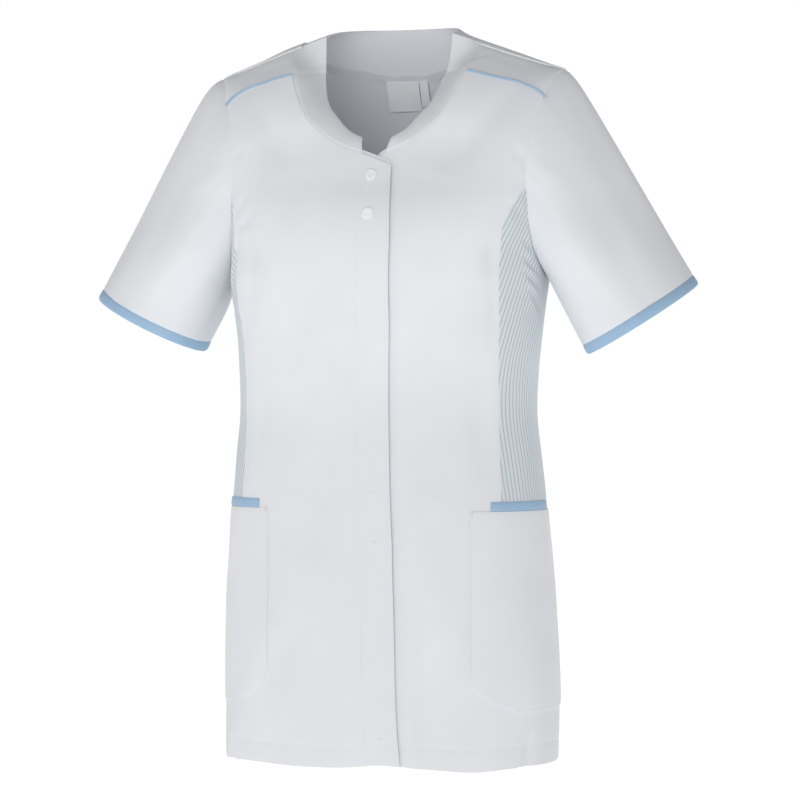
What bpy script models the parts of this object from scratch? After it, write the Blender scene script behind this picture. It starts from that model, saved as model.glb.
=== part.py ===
"""A short-sleeved work tunic, filled out with no wearer, as the pieces that a maker would cut and sew.

Metres, +Z up, the front faces -Y and the wearer's left is at +X. The origin is the middle of the
neck opening at the height of the side of the neck. Every piece is cut from one skin, a stack of
rings that rolls over at the shoulder, and is a shell that goes inwards from that skin.
"""

import math

import bmesh
import bpy
import numpy as np
from mathutils import Vector

CLOTH = 0.0015
LAYER_GAP = 0.0003
HALF_SEAM = 0.00018
NARROW_STEP = 0.03
GIRTH_PER_DEGREE = 0.0025

HEM_HEIGHT = -0.739
WAIST_HEIGHT = -0.265
FOOT_STEPS = 10
CHEST_STEPS = 9
SIDE_STEPS = 5

NECK_SIDE_X = 0.068
NECK_SIDE_HEIGHT = 0.0190
SHOULDER_SLOPE = 0.37
RIDGE_Y = 0.004
FRONT_ROLL_DROP = 0.100
BACK_ROLL_DROP = 0.110
SHOULDER_X = 0.184

FLAP_LAP = 0.0400
FLAP_RAMP = 0.010
FLAP_SINK = 0.0024
PLACKET_TOP = -0.125
PLACKET_FOLD = 0.003
PLACKET_ZONE = 0.0335

SLEEVE_SEAM_GAP = 0.0014
SLEEVE_STATIONS = 32
SLEEVE_RINGS = 6
BINDING_HEIGHT = 0.011
BINDING_THICKNESS = 0.0022
BINDING_PROUD = 0.0004
OPENING_FRONT_DROP = 0.005

COLLAR_SEAM_GAP = 0.0012
NOTCH_SHIFT = 0.0036
LEFT_NECK_DIP = 0.0045
YOKE_FLATNESS = 0.8
COLLAR_BLEND_X = 0.112
COLLAR_FULLNESS = 0.0012
BACK_COLLAR_FULLNESS = 0.002
PIPING_RADIUS = 0.0011
PIPING_POINTS = 16

POCKET_GAP = 0.0006
POCKET_TOP = {1: -0.4805, -1: -0.4780}
POCKET_FOOT = {1: -0.684, -1: -0.679}
POCKET_FRONT_X = 0.106
POCKET_BACK_ANGLE = 114.0
POCKET_WIDTH = 0.165
POCKET_CORNER = 0.070
POCKET_CORNER_DROP = 0.040
BAND_HEIGHT = 0.0095
BAND_FRONT_X = {1: 0.1255, -1: 0.1175}
BAND_BACK_ANGLE = 90.0

SNAP_RADIUS = 0.0062
SNAP_HEIGHT = 0.0018
SNAP_HEIGHTS = (-0.1385, -0.1785)
SNAP_X = 0.002

LABEL_THICKNESS = 0.0010
LABEL_TOP = -0.0235
NECK_LABEL = {"left": -0.024, "right": 0.012, "drop": 0.031}
SIZE_LABEL = {"left": 0.0130, "right": 0.0225, "drop": 0.026}

# Rings of the skin. Columns: height, half width, front depth, back depth, squareness, middle's x.
RINGS = (
    (-0.760, 0.1750, 0.1240, 0.1150, 2.30, -0.0015),
    (-0.700, 0.1760, 0.1230, 0.1160, 2.30, -0.0015),
    (-0.643, 0.1750, 0.1220, 0.1160, 2.30, -0.0015),
    (-0.587, 0.1725, 0.1190, 0.1140, 2.30, -0.0020),
    (-0.542, 0.1695, 0.1160, 0.1090, 2.30, -0.0030),
    (-0.485, 0.1665, 0.1120, 0.1000, 2.30, -0.0045),
    (-0.428, 0.1620, 0.1080, 0.0890, 2.25, -0.0048),
    (-0.378, 0.1575, 0.1060, 0.0830, 2.20, -0.0050),
    (-0.332, 0.1590, 0.1090, 0.0860, 2.20, -0.0050),
    (-0.298, 0.1625, 0.1140, 0.0930, 2.20, -0.0045),
    (-0.262, 0.1665, 0.1200, 0.1010, 2.25, -0.0040),
    (-0.238, 0.1680, 0.1230, 0.1050, 2.35, -0.0030),
    (-0.212, 0.1690, 0.1240, 0.1080, 2.40, -0.0015),
    (-0.192, 0.1715, 0.1225, 0.1100, 2.50, -0.0005),
    (-0.171, 0.1745, 0.1180, 0.1105, 2.60, 0.0),
    (-0.141, 0.1780, 0.1065, 0.1080, 2.80, 0.0),
    (-0.106, 0.1850, 0.0950, 0.1020, 2.90, 0.0),
    (-0.075, 0.1880, 0.0880, 0.0950, 2.95, 0.0),
    (-0.040, 0.1930, 0.0800, 0.0860, 3.00, -0.0010),
    (0.000, 0.1950, 0.0750, 0.0780, 3.00, -0.0020),
    (0.060, 0.1950, 0.0700, 0.0720, 3.00, -0.0020),
)

# The armhole, from the shoulder down to the armpit. Columns: ring angle from the front, height.
ARMHOLE_FRONT = (
    (60.0, -0.0450),
    (56.0, -0.0600),
    (53.4, -0.0770),
    (52.0, -0.0980),
    (52.8, -0.1210),
    (55.8, -0.1440),
    (59.8, -0.1680),
    (64.0, -0.1910),
    (70.0, -0.2120),
    (78.5, -0.2290),
    (90.0, -0.2380),
)
ARMHOLE_BACK = (
    (101.0, -0.2290),
    (109.0, -0.2110),
    (116.0, -0.1880),
    (120.5, -0.1620),
    (123.5, -0.1340),
    (125.0, -0.1060),
    (124.5, -0.0790),
    (122.5, -0.0600),
    (119.0, -0.0450),
)
BACK_SEAM_TOP = -0.162
BACK_SEAM_BEND = -0.215

# The seam between a front and its side panel. Columns: height, distance from the middle.
FRONT_SEAM_LEFT = (
    (-0.760, 0.1490),
    (-0.700, 0.1485),
    (-0.600, 0.1450),
    (-0.530, 0.1400),
    (-0.471, 0.1350),
    (-0.388, 0.1315),
    (-0.332, 0.1308),
    (-0.279, 0.1325),
    (-0.239, 0.1333),
    (-0.205, 0.1350),
    (-0.1925, 0.1362),
    (-0.181, 0.1396),
    (-0.171, 0.1437),
    (-0.162, 0.1490),
)
FRONT_SEAM_RIGHT = (
    (-0.760, 0.1440),
    (-0.600, 0.1430),
    (-0.470, 0.1405),
    (-0.385, 0.1395),
    (-0.330, 0.1400),
    (-0.294, 0.1420),
    (-0.2625, 0.1470),
    (-0.2305, 0.1500),
    (-0.190, 0.1520),
    (-0.168, 0.1535),
)
# The seam between the back and a side panel. Columns: height, ring angle from the front.
BACK_SEAM = (
    (-0.760, 121.0),
    (-0.500, 122.0),
    (-0.380, 124.0),
    (-0.280, 124.0),
    (-0.200, 122.5),
)

# The free edge of the overlap. Columns: height, distance past the centre front.
FLAP_EDGE = (
    (-0.760, 0.0395),
    (-0.700, 0.0340),
    (-0.660, 0.0322),
    (-0.600, 0.0306),
    (-0.560, 0.0295),
    (-0.510, 0.0292),
    (-0.460, 0.0272),
    (-0.420, 0.0259),
    (-0.370, 0.0249),
    (-0.330, 0.0256),
    (-0.290, 0.0270),
    (-0.240, 0.0268),
    (-0.210, 0.0263),
    (-0.170, 0.0240),
    (-0.110, 0.0213),
)

# The neck seam of the front, from the overlap to the yoke. Columns: distance past centre, height.
NECK_FRONT = (
    (-0.0420, -0.1370),
    (-0.0195, -0.1280),
    (0.0000, -0.1205),
    (0.0140, -0.1150),
    (0.0325, -0.1080),
    (0.0485, -0.0985),
    (0.0625, -0.0865),
    (0.0710, -0.0770),
    (0.0790, -0.0635),
    (0.0865, -0.0460),
    (0.0925, -0.0300),
)
# The seam under the yoke, from the collar to the armhole. Columns: distance from the middle, height.
YOKE_SEAM = (
    (0.0925, -0.0300),
    (0.1110, -0.0340),
    (0.1290, -0.0385),
    (0.1440, -0.0420),
    (0.1550, -0.0465),
    (0.1640, -0.0520),
    (0.1705, -0.0590),
)
# Columns of a yoke. Columns: distance from the middle on the shoulder seam, then on the seam below.
YOKE_COLUMNS = (
    (0.0680, 0.0627),
    (0.0760, 0.0730),
    (0.0850, 0.0830),
    (0.0925, 0.0925),
    (0.1050, 0.1050),
    (0.1250, 0.1220),
    (0.1450, 0.1390),
    (0.1650, 0.1560),
    (0.1800, 0.1680),
    (0.1840, 0.1705),
)
COLLAR_COLUMNS = 4
NECK_STOPS = (0.0140, 0.0325, 0.0485, 0.0625, 0.0730, 0.0830, 0.0895)
BACK_STOPS = (0.0, 0.0220, 0.0440, 0.0630, 0.0790, 0.0880)
# The free top edge of the stand collar. Columns: x, y, height. From the notch to the side of the neck.
COLLAR_EDGE_FRONT = (
    (0.0150, -0.0880, -0.0985),
    (0.0278, -0.0835, -0.0915),
    (0.0402, -0.0760, -0.0785),
    (0.0532, -0.0632, -0.0615),
    (0.0590, -0.0515, -0.0470),
    (0.0627, -0.0400, -0.0335),
)
COLLAR_EDGE_YOKE = (
    (0.0627, -0.0400, -0.0335),
    (0.0652, -0.0325, -0.0170),
    (0.0672, -0.0255, -0.0005),
    (0.0680, -0.0199, 0.0141),
)
COLLAR_EDGE_BACK = (
    (0.0680, -0.0199, 0.0141),
    (0.0683, -0.0020, 0.0187),
    (0.0670, 0.0160, 0.0228),
    (0.0610, 0.0360, 0.0265),
    (0.0480, 0.0530, 0.0288),
    (0.0260, 0.0650, 0.0298),
    (0.0000, 0.0690, 0.0300),
)
# Where the back meets its collar. Columns: distance from the middle, roll back from the ridge.
NECK_BACK = (
    (0.0000, 66.5),
    (0.0120, 64.8),
    (0.0250, 61.0),
    (0.0390, 55.5),
    (0.0560, 49.5),
    (0.0720, 42.5),
    (0.0835, 32.0),
    (0.0885, 18.0),
    (0.0912, 0.0),
    (0.0925, -18.0),
)
# How far the back comes over the ridge to the front. Columns: distance from the middle, roll.
SHOULDER_SEAM = (
    (0.0600, -18.0),
    (0.1000, -18.0),
    (0.1400, -16.0),
    (0.1700, -10.0),
    (0.1840, -3.0),
)

# Sleeves by side: opening's outer x and height, its inner x and height, half depth, rise of the cap.
SLEEVES = {
    1: (0.3200, -0.2490, 0.2065, -0.3180, 0.0620, 0.0060),
    -1: (0.3240, -0.2560, 0.2090, -0.3150, 0.0610, 0.0130),
}
SLEEVE_MIDDLE_Y = 0.004

# Soft folds. Columns: angle and height at one end, then at the other, half width, depth inwards.
FOLDS = (
    (37.0, -0.045, 16.0, -0.135, 0.017, 0.0040),
    (-35.0, -0.055, -20.0, -0.130, 0.016, 0.0022),
    (50.0, -0.170, 44.0, -0.245, 0.009, 0.0025),
    (-49.0, -0.165, -42.0, -0.235, 0.009, 0.0018),
    (-53.0, -0.300, -50.0, -0.460, 0.010, -0.0028),
    (46.0, -0.320, 43.0, -0.450, 0.012, 0.0022),
    (14.0, -0.540, 20.0, -0.800, 0.014, 0.0030),
    (-30.0, -0.600, -34.0, -0.800, 0.017, 0.0026),
    (152.0, -0.230, 148.0, -0.520, 0.018, 0.0040),
    (-151.0, -0.240, -147.0, -0.500, 0.018, 0.0036),
    (172.0, -0.330, 176.0, -0.470, 0.014, -0.0026),
    (138.0, -0.095, 157.0, -0.190, 0.015, 0.0030),
    (-140.0, -0.090, -158.0, -0.180, 0.015, 0.0028),
    (165.0, -0.560, 161.0, -0.800, 0.020, 0.0034),
    (-160.0, -0.580, -156.0, -0.800, 0.018, 0.0030),
)

# Columns: red, green, blue, roughness.
FINISHES = {
    "white_cloth": (0.76, 0.77, 0.79, 0.85),
    "striped_cloth": (0.63, 0.68, 0.74, 0.85),
    "blue_cloth": (0.36, 0.52, 0.70, 0.80),
    "white_plastic": (0.86, 0.86, 0.86, 0.35),
    "label_cloth": (0.80, 0.80, 0.80, 0.70),
}


def smooth_curve(stations, values):
    """A function that passes smoothly through the values, one number or one point per station."""
    stations = np.array(stations, float)
    values = np.array(values, float)
    slopes = np.gradient(values, stations, axis=0)

    def read(at):
        at = min(max(at, stations[0]), stations[-1])
        index = int(np.searchsorted(stations, at, side="right")) - 1
        index = min(max(index, 0), len(stations) - 2)
        span = stations[index + 1] - stations[index]
        t = (at - stations[index]) / span
        start = values[index] * (2 * t**3 - 3 * t**2 + 1) + slopes[index] * span * (t**3 - 2 * t**2 + t)
        end = values[index + 1] * (3 * t**2 - 2 * t**3) + slopes[index + 1] * span * (t**3 - t**2)
        return start + end

    return read


def column_curve(rows, column):
    """One column of a table against its first column."""
    return smooth_curve([row[0] for row in rows], [row[column] for row in rows])


def path_curve(points):
    """A function from 0 to 1 that runs along points at an even pace."""
    points = np.array(points, float)
    steps = np.linalg.norm(np.diff(points, axis=0), axis=1)
    length = np.concatenate([[0.0], np.cumsum(steps)])
    return smooth_curve(length / length[-1], points)


def smooth_step(value):
    value = min(max(value, 0.0), 1.0)
    return value * value * (3 - 2 * value)


def steps_between(start, end, count, narrow=NARROW_STEP):
    """Values from start to end with a narrow step at both ends, so that seams meet at one slope."""
    inner = np.linspace(narrow, 1 - narrow, count - 1)
    return [start + (end - start) * fraction for fraction in (0.0, *inner, 1.0)]


RING_WIDTH = column_curve(RINGS, 1)
RING_FRONT = column_curve(RINGS, 2)
RING_BACK = column_curve(RINGS, 3)
RING_SQUARENESS = column_curve(RINGS, 4)
RING_MIDDLE = column_curve(RINGS, 5)
FRONT_SEAMS = {1: column_curve(FRONT_SEAM_LEFT, 1), -1: column_curve(FRONT_SEAM_RIGHT, 1)}
BACK_SEAM_ANGLE = column_curve(BACK_SEAM, 1)
FLAP_EDGE_X = column_curve(FLAP_EDGE, 1)
NECK_FRONT_HEIGHT = column_curve(NECK_FRONT, 1)
YOKE_SEAM_HEIGHT = column_curve(YOKE_SEAM, 1)
NECK_BACK_ROLL = column_curve(NECK_BACK, 1)
SHOULDER_SEAM_ROLL = column_curve(SHOULDER_SEAM, 1)
YOKE_INNER_X = NECK_FRONT[-1][0]
YOKE_OUTER_X = YOKE_SEAM[-1][0]
# The front's outer column reaches the top of the side panel after as many steps as the panel has.
FRONT_SEAM_TOP = WAIST_HEIGHT + (YOKE_SEAM[-1][1] - WAIST_HEIGHT) * SIDE_STEPS / CHEST_STEPS


def ridge_height(across):
    return NECK_SIDE_HEIGHT - SHOULDER_SLOPE * (abs(across) - NECK_SIDE_X)


def ring_angle(across, height, at_back):
    """The ring angle from the front, in degrees, of a distance from the middle."""
    share = min(abs(across) / RING_WIDTH(height), 1.0)
    angle = math.degrees(math.asin(share ** (RING_SQUARENESS(height) / 2)))
    angle = 180.0 - angle if at_back else angle
    return math.copysign(angle, across)


def ring_across(angle, height):
    """The distance from the middle at a ring angle, with the angle's sign."""
    sine = math.sin(math.radians(angle))
    return math.copysign(RING_WIDTH(height) * abs(sine) ** (2 / RING_SQUARENESS(height)), sine)


def fold_depth(angle, height):
    """How far the folds press the skin in at a place."""
    total = 0.0
    for start_angle, start_height, end_angle, end_height, half_width, depth in FOLDS:
        run = ((end_angle - start_angle) * GIRTH_PER_DEGREE, end_height - start_height)
        reach = ((angle - start_angle) * GIRTH_PER_DEGREE, height - start_height)
        length = math.hypot(*run)
        along = (reach[0] * run[0] + reach[1] * run[1]) / length**2
        if not 0.0 < along < 1.0:
            continue
        aside = abs(reach[0] * run[1] - reach[1] * run[0]) / length
        total += depth * math.sin(math.pi * along) ** 0.8 * math.exp(-((aside / half_width) ** 2))
    return total


def bare_skin(angle, height):
    """The skin without folds at a ring angle and a height."""
    across = ring_across(angle, height)
    cosine = math.cos(math.radians(angle))
    depth = RING_FRONT(height) if cosine > 0 else RING_BACK(height)
    y = -math.copysign(depth * abs(cosine) ** (2 / RING_SQUARENESS(height)), cosine)
    drop = FRONT_ROLL_DROP if cosine > 0 else BACK_ROLL_DROP
    turn = min(max((ridge_height(across) - height) / drop, 0.0), 1.0)
    y = RIDGE_Y + (y - RIDGE_Y) * math.sqrt(1 - (1 - turn) ** 2)
    return Vector((across + RING_MIDDLE(height), y, height))


def skin_normal(angle, height):
    """The direction out of the skin."""
    reach = 0.6
    rise = 0.0012
    across = bare_skin(angle + reach, height) - bare_skin(angle - reach, height)
    up = bare_skin(angle, height + rise) - bare_skin(angle, height - rise)
    return across.cross(up).normalized()


def skin(angle, height, out=0.0):
    """A point of the skin, moved outwards by out."""
    inwards = fold_depth(angle, height)
    point = bare_skin(angle, height)
    if abs(inwards) < 1e-6 and out == 0.0:
        return point
    return point + skin_normal(angle, height) * (out - inwards)


def skin_at(across, height, at_back=False, out=0.0):
    """A point of the skin at a distance from the middle instead of an angle."""
    return skin(ring_angle(across, height, at_back), height, out)


def shoulder(across, roll, out=0.0):
    """A point over the shoulder. A roll of 0 degrees is the ridge, below 0 the front, above 0 the back."""
    at_back = roll > 0
    drop = BACK_ROLL_DROP if at_back else FRONT_ROLL_DROP
    height = ridge_height(across) - drop * (1 - math.cos(math.radians(roll)))
    ring_y = bare_ring_y(across, height, at_back)
    y = RIDGE_Y + (ring_y - RIDGE_Y) * math.sin(math.radians(abs(roll)))
    point = Vector((across + RING_MIDDLE(height), y, height))
    if out == 0.0:
        return point
    slope = shoulder(across, roll + 0.5) - shoulder(across, roll - 0.5)
    along = shoulder(across + 0.001, roll) - shoulder(across - 0.001, roll)
    normal = along.cross(slope).normalized()
    return point + normal * (out if normal.z > 0 else -out)


def bare_ring_y(across, height, at_back):
    share = min(abs(across) / RING_WIDTH(height), 1.0)
    power = RING_SQUARENESS(height)
    depth = RING_BACK(height) if at_back else RING_FRONT(height)
    reach = depth * (1 - share**power) ** (1 / power)
    return reach if at_back else -reach


def roll_of(across, height):
    """The roll angle, below 0, of a height on the front of the shoulder."""
    turn = min(max((ridge_height(across) - height) / FRONT_ROLL_DROP, 0.0), 1.0)
    return -math.degrees(math.acos(1 - turn))


ARMHOLE_FRONT_ANGLE = smooth_curve(
    [row[1] for row in reversed(ARMHOLE_FRONT)], [row[0] for row in reversed(ARMHOLE_FRONT)]
)
ARMHOLE_BACK_ANGLE = smooth_curve([row[1] for row in ARMHOLE_BACK], [row[0] for row in ARMHOLE_BACK])
ARMHOLE_TOP = (SHOULDER_X, ridge_height(SHOULDER_X))


def armhole_across(height, at_back):
    """The armhole's distance from the middle at a height."""
    rows = ARMHOLE_BACK if at_back else ARMHOLE_FRONT
    angle = (ARMHOLE_BACK_ANGLE if at_back else ARMHOLE_FRONT_ANGLE)(height)
    top_height = max(row[1] for row in rows)
    if height <= top_height:
        return ring_across(angle, height)
    left = max(ARMHOLE_TOP[1] - height, 0.0) / (ARMHOLE_TOP[1] - top_height)
    return SHOULDER_X + (ring_across(angle, top_height) - SHOULDER_X) * left


def armhole_loop(side):
    """An armhole as a closed path: shoulder, front, armpit, back."""
    top = shoulder(SHOULDER_X * side, 0.0)
    front = [skin(angle * side, height) for angle, height in ARMHOLE_FRONT]
    back = [skin(angle * side, height) for angle, height in ARMHOLE_BACK]
    front_rise = shoulder((SHOULDER_X + ring_across(*ARMHOLE_FRONT[0])) / 2 * side, -22.0)
    back_rise = shoulder((SHOULDER_X + abs(ring_across(*ARMHOLE_BACK[-1]))) / 2 * side, 20.0)
    return path_curve([top, front_rise, *front, *back, back_rise, top])


def side_top_curve():
    """The lower armhole as ring angle and height, from the front seam to the back seam."""
    rows = [(ARMHOLE_FRONT_ANGLE(FRONT_SEAM_TOP), FRONT_SEAM_TOP)]
    rows += [row for row in ARMHOLE_FRONT if row[1] < FRONT_SEAM_TOP - 0.005]
    rows += [row for row in ARMHOLE_BACK if row[1] < BACK_SEAM_TOP - 0.005]
    rows += [(ARMHOLE_BACK_ANGLE(BACK_SEAM_TOP), BACK_SEAM_TOP)]
    scaled = path_curve([(angle * GIRTH_PER_DEGREE, height) for angle, height in rows])

    def read(at):
        angle, height = scaled(at)
        return angle / GIRTH_PER_DEGREE, height

    return read


def front_outer(side, height):
    """Where a front ends at its outer side: the side panel's seam, then the armhole."""
    if height >= FRONT_SEAM_TOP:
        return armhole_across(height, False)
    seam = FRONT_SEAMS[side]
    last = (FRONT_SEAM_LEFT if side > 0 else FRONT_SEAM_RIGHT)[-1][0]
    if height <= last:
        return seam(height)
    share = (height - last) / (FRONT_SEAM_TOP - last)
    return seam(last) + (armhole_across(FRONT_SEAM_TOP, False) - seam(last)) * share


def back_outer(height):
    """The back's half width at a height: the side panel's seam, then the armhole."""
    top_angle = ARMHOLE_BACK_ANGLE(BACK_SEAM_TOP)
    if height >= BACK_SEAM_TOP:
        return armhole_across(height, True)
    share = smooth_step((height - BACK_SEAM_BEND) / (BACK_SEAM_TOP - BACK_SEAM_BEND))
    angle = BACK_SEAM_ANGLE(height) + (top_angle - BACK_SEAM_ANGLE(height)) * share
    return ring_across(angle, height)


def material_named(name):
    """The Principled material of a finish, made once."""
    if name in bpy.data.materials:
        return bpy.data.materials[name]
    red, green, blue, roughness = FINISHES[name]
    material = bpy.data.materials.new(name)
    material.use_nodes = True
    shader = material.node_tree.nodes["Principled BSDF"]
    shader.inputs["Base Color"].default_value = (red, green, blue, 1.0)
    shader.inputs["Roughness"].default_value = roughness
    shader.inputs["Metallic"].default_value = 0.0
    return material


def object_named(name, mesh, collection, finish):
    obj = bpy.data.objects.new(name, mesh)
    collection.objects.link(obj)
    mesh.materials.append(material_named(finish))
    mesh.shade_smooth()
    return obj


def shell(name, grid, collection, finish, thickness=CLOTH, closed=False, middle=None):
    """A shell from a grid of points, given its thickness towards the middle of the garment."""
    mesh = bpy.data.meshes.new(name)
    work = bmesh.new()
    rows = [[work.verts.new(point) for point in row] for row in grid]
    for lower, upper in zip(rows[:-1], rows[1:]):
        count = len(lower)
        for index in range(count if closed else count - 1):
            following = (index + 1) % count
            work.faces.new((lower[index], lower[following], upper[following], upper[index]))
    outward = 0.0
    for face in work.faces:
        face.normal_update()
        centre = face.calc_center_median()
        core = Vector((0.0, 0.0, centre.z - 0.05)) if middle is None else middle
        outward += face.normal.dot(centre - core) * face.calc_area()
    if outward < 0:
        bmesh.ops.reverse_faces(work, faces=work.faces)
    work.to_mesh(mesh)
    work.free()
    obj = object_named(name, mesh, collection, finish)
    wall = obj.modifiers.new("wall", "SOLIDIFY")
    wall.thickness = thickness
    wall.offset = -1.0
    wall.use_even_offset = True
    return obj


def foot_heights():
    """Heights from the hem to just below the waist height, shared by every panel."""
    return steps_between(HEM_HEIGHT, WAIST_HEIGHT, FOOT_STEPS, 0.02)[:-1]


def front_point(side, across, height, sink):
    """A point of a front. Across is towards the wearer's side, and negative past the centre."""
    inwards = 0.0
    if sink:
        ramp = smooth_step((across - FLAP_EDGE_X(height) - 2 * LAYER_GAP) / FLAP_RAMP)
        inwards = FLAP_SINK * (1 - ramp)
    return skin_at(across * side, height, False, -inwards)


def build_front(name, side, collection):
    """A front, from the hem to the neck and the yoke. The wearer's right one laps over the left one."""
    laps_over = side < 0

    def inner(height):
        return -FLAP_EDGE_X(height) if laps_over else FLAP_EDGE_X(height) - FLAP_LAP

    start = inner(PLACKET_TOP)
    if laps_over:
        near_stops = [start, start + PLACKET_FOLD, -0.008, 0.0]
        zone = PLACKET_ZONE
    else:
        edge = FLAP_EDGE_X(PLACKET_TOP) + 2 * LAYER_GAP
        near_stops = [start, start + 2 * PLACKET_FOLD, 0.0]
        near_stops += [edge - PLACKET_FOLD, edge, edge + FLAP_RAMP / 2, edge + FLAP_RAMP]
        zone = edge + FLAP_RAMP - start
    stops = [stop for stop in NECK_STOPS if laps_over or stop > near_stops[-1] + 0.002 or stop == 0.014]
    yoke_stops = [low for _, low in YOKE_COLUMNS[COLLAR_COLUMNS - 1 :]]
    columns = []
    for stop in sorted([*near_stops, *stops]) + yoke_stops:
        on_neck = stop < YOKE_INNER_X
        top = (NECK_FRONT_HEIGHT if on_neck else YOKE_SEAM_HEIGHT)(stop)
        if not laps_over:
            top -= LEFT_NECK_DIP * smooth_step((0.014 - stop) / 0.012)
        gap = COLLAR_SEAM_GAP if on_neck and stop > 0.010 else HALF_SEAM
        zone_top = inner(top) + zone
        share = (stop - zone_top) / (front_outer(side, top) - zone_top)
        column = []
        chest = np.linspace(WAIST_HEIGHT, top, CHEST_STEPS + 1)
        for height in [*foot_heights(), *chest[:-1], top - gap]:
            left = inner(height) + zone
            right = front_outer(side, height) - HALF_SEAM
            if share > 0:
                across = left + min(share, 1.0) * (right - left)
            else:
                across = left + (stop - zone_top)
            column.append(front_point(side, across, height, not laps_over))
        columns.append(column)
    return shell(name, list(zip(*columns)), collection, "white_cloth")


def build_side(name, side, collection):
    """A side panel, from the hem to the lower armhole."""
    top_curve = side_top_curve()
    columns = []
    for share in steps_between(0.0, 1.0, 10):
        top_angle, top_height = top_curve(share)

        def natural(height):
            front = ring_angle(front_outer(side, min(height, FRONT_SEAM_TOP)) + HALF_SEAM, height, False)
            back = ring_angle(back_outer(min(height, BACK_SEAM_TOP)) + HALF_SEAM, height, True)
            return front + share * (back - front)

        miss = top_angle - natural(top_height)
        column = []
        for height in [*foot_heights(), *np.linspace(WAIST_HEIGHT, top_height, SIDE_STEPS + 1)]:
            rise = (height - HEM_HEIGHT) / (top_height - HEM_HEIGHT)
            bend = miss * rise**8 if 0.0 < share < 1.0 else 0.0
            column.append(skin((natural(height) + bend) * side, height))
        columns.append(column)
    return shell(name, list(zip(*columns)), collection, "striped_cloth")


def build_back(name, collection):
    """The back, from the hem over the ridge of the shoulders to the seam on the front."""
    columns = []
    half = [*BACK_STOPS, *(top for top, _ in YOKE_COLUMNS[COLLAR_COLUMNS - 1 :])]
    for stop in [-stop for stop in reversed(half[1:])] + half:
        share = stop / SHOULDER_X
        top_across = abs(stop)
        on_neck = top_across < YOKE_INNER_X
        end_roll = (NECK_BACK_ROLL if on_neck else SHOULDER_SEAM_ROLL)(top_across)
        end_roll += math.degrees((COLLAR_SEAM_GAP if on_neck else HALF_SEAM) / 0.08)
        roll_start = ridge_height(top_across) - BACK_ROLL_DROP
        heights = [*foot_heights(), *np.linspace(WAIST_HEIGHT, BACK_SEAM_TOP, SIDE_STEPS + 1)]
        heights += list(np.linspace(BACK_SEAM_TOP, roll_start, 4)[1:-1])
        column = [skin_at(share * (back_outer(height) - HALF_SEAM), height, True) for height in heights]
        for roll in [*np.linspace(90.0, end_roll + 3.0, 8), end_roll]:
            drop = BACK_ROLL_DROP if roll > 0 else FRONT_ROLL_DROP
            height = ridge_height(top_across) - drop * (1 - math.cos(math.radians(roll)))
            outer = armhole_across(height, True) if roll > 0 else SHOULDER_X
            across = share * (outer - HALF_SEAM)
            inwards = fold_depth(ring_angle(across, height, True), height) if roll > 30 else 0.0
            column.append(shoulder(across, roll, -inwards))
        columns.append(column)
    return shell(name, list(zip(*columns)), collection, "white_cloth")


def moved_towards(row, next_row, distance):
    """A row of points moved by a distance towards the next row."""
    return [point + (further - point).normalized() * distance for point, further in zip(row, next_row)]


def edge_point(rows, along, side, shift=0.0):
    """A point of the collar's free edge, on the wearer's left for a side of 1."""
    x, y, z = path_curve(rows)(along)
    return Vector((x * side + shift, y, z))


def yoke_point(side, across_top, across_low, down):
    """A point of a yoke. Down runs from 0 on the shoulder seam to 1 on the seam below."""
    low_start, low_height = COLLAR_EDGE_FRONT[-1][0], COLLAR_EDGE_FRONT[-1][2]
    across = across_top + (across_low - across_top) * smooth_step(down)
    height = YOKE_SEAM_HEIGHT(max(across_low, YOKE_INNER_X))
    if across_low < YOKE_INNER_X:
        height += (low_height - height) * (YOKE_INNER_X - across_low) / (YOKE_INNER_X - low_start)
    top_roll = SHOULDER_SEAM_ROLL(across_top)
    low_roll = roll_of(across_low, height)
    on_skin = shoulder(across * side, top_roll + (low_roll - top_roll) * down)
    straight = shoulder(across_top * side, top_roll).lerp(shoulder(across_low * side, low_roll), down)
    flatness = YOKE_FLATNESS * smooth_step((YOKE_OUTER_X - across_low) / 0.03)
    on_skin = on_skin.lerp(straight, flatness)
    blend_x = COLLAR_BLEND_X + (YOKE_INNER_X - COLLAR_BLEND_X) * smooth_step(down)
    near = smooth_step((blend_x - across_low) / (blend_x - low_start))
    first = NECK_SIDE_X + (low_start - NECK_SIDE_X) * smooth_step(down)
    first_roll = SHOULDER_SEAM_ROLL(NECK_SIDE_X)
    first_roll += (roll_of(low_start, low_height) - first_roll) * down
    miss = edge_point(COLLAR_EDGE_YOKE[::-1], down, side) - shoulder(first * side, first_roll)
    return on_skin + miss * near


def build_yoke(name, side, collection):
    """A yoke on the front of the shoulder, grown on to the side of the stand collar."""
    grid = []
    for down in (0.026, 0.08, 0.26, 0.44, 0.62, 0.80, 0.93, 0.990):
        row = [yoke_point(side, top, low, down) for top, low in YOKE_COLUMNS]
        row[-1] = row[-1].lerp(row[-2], 0.13)
        grid.append(row)
    return shell(name, grid, collection, "white_cloth")


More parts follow.
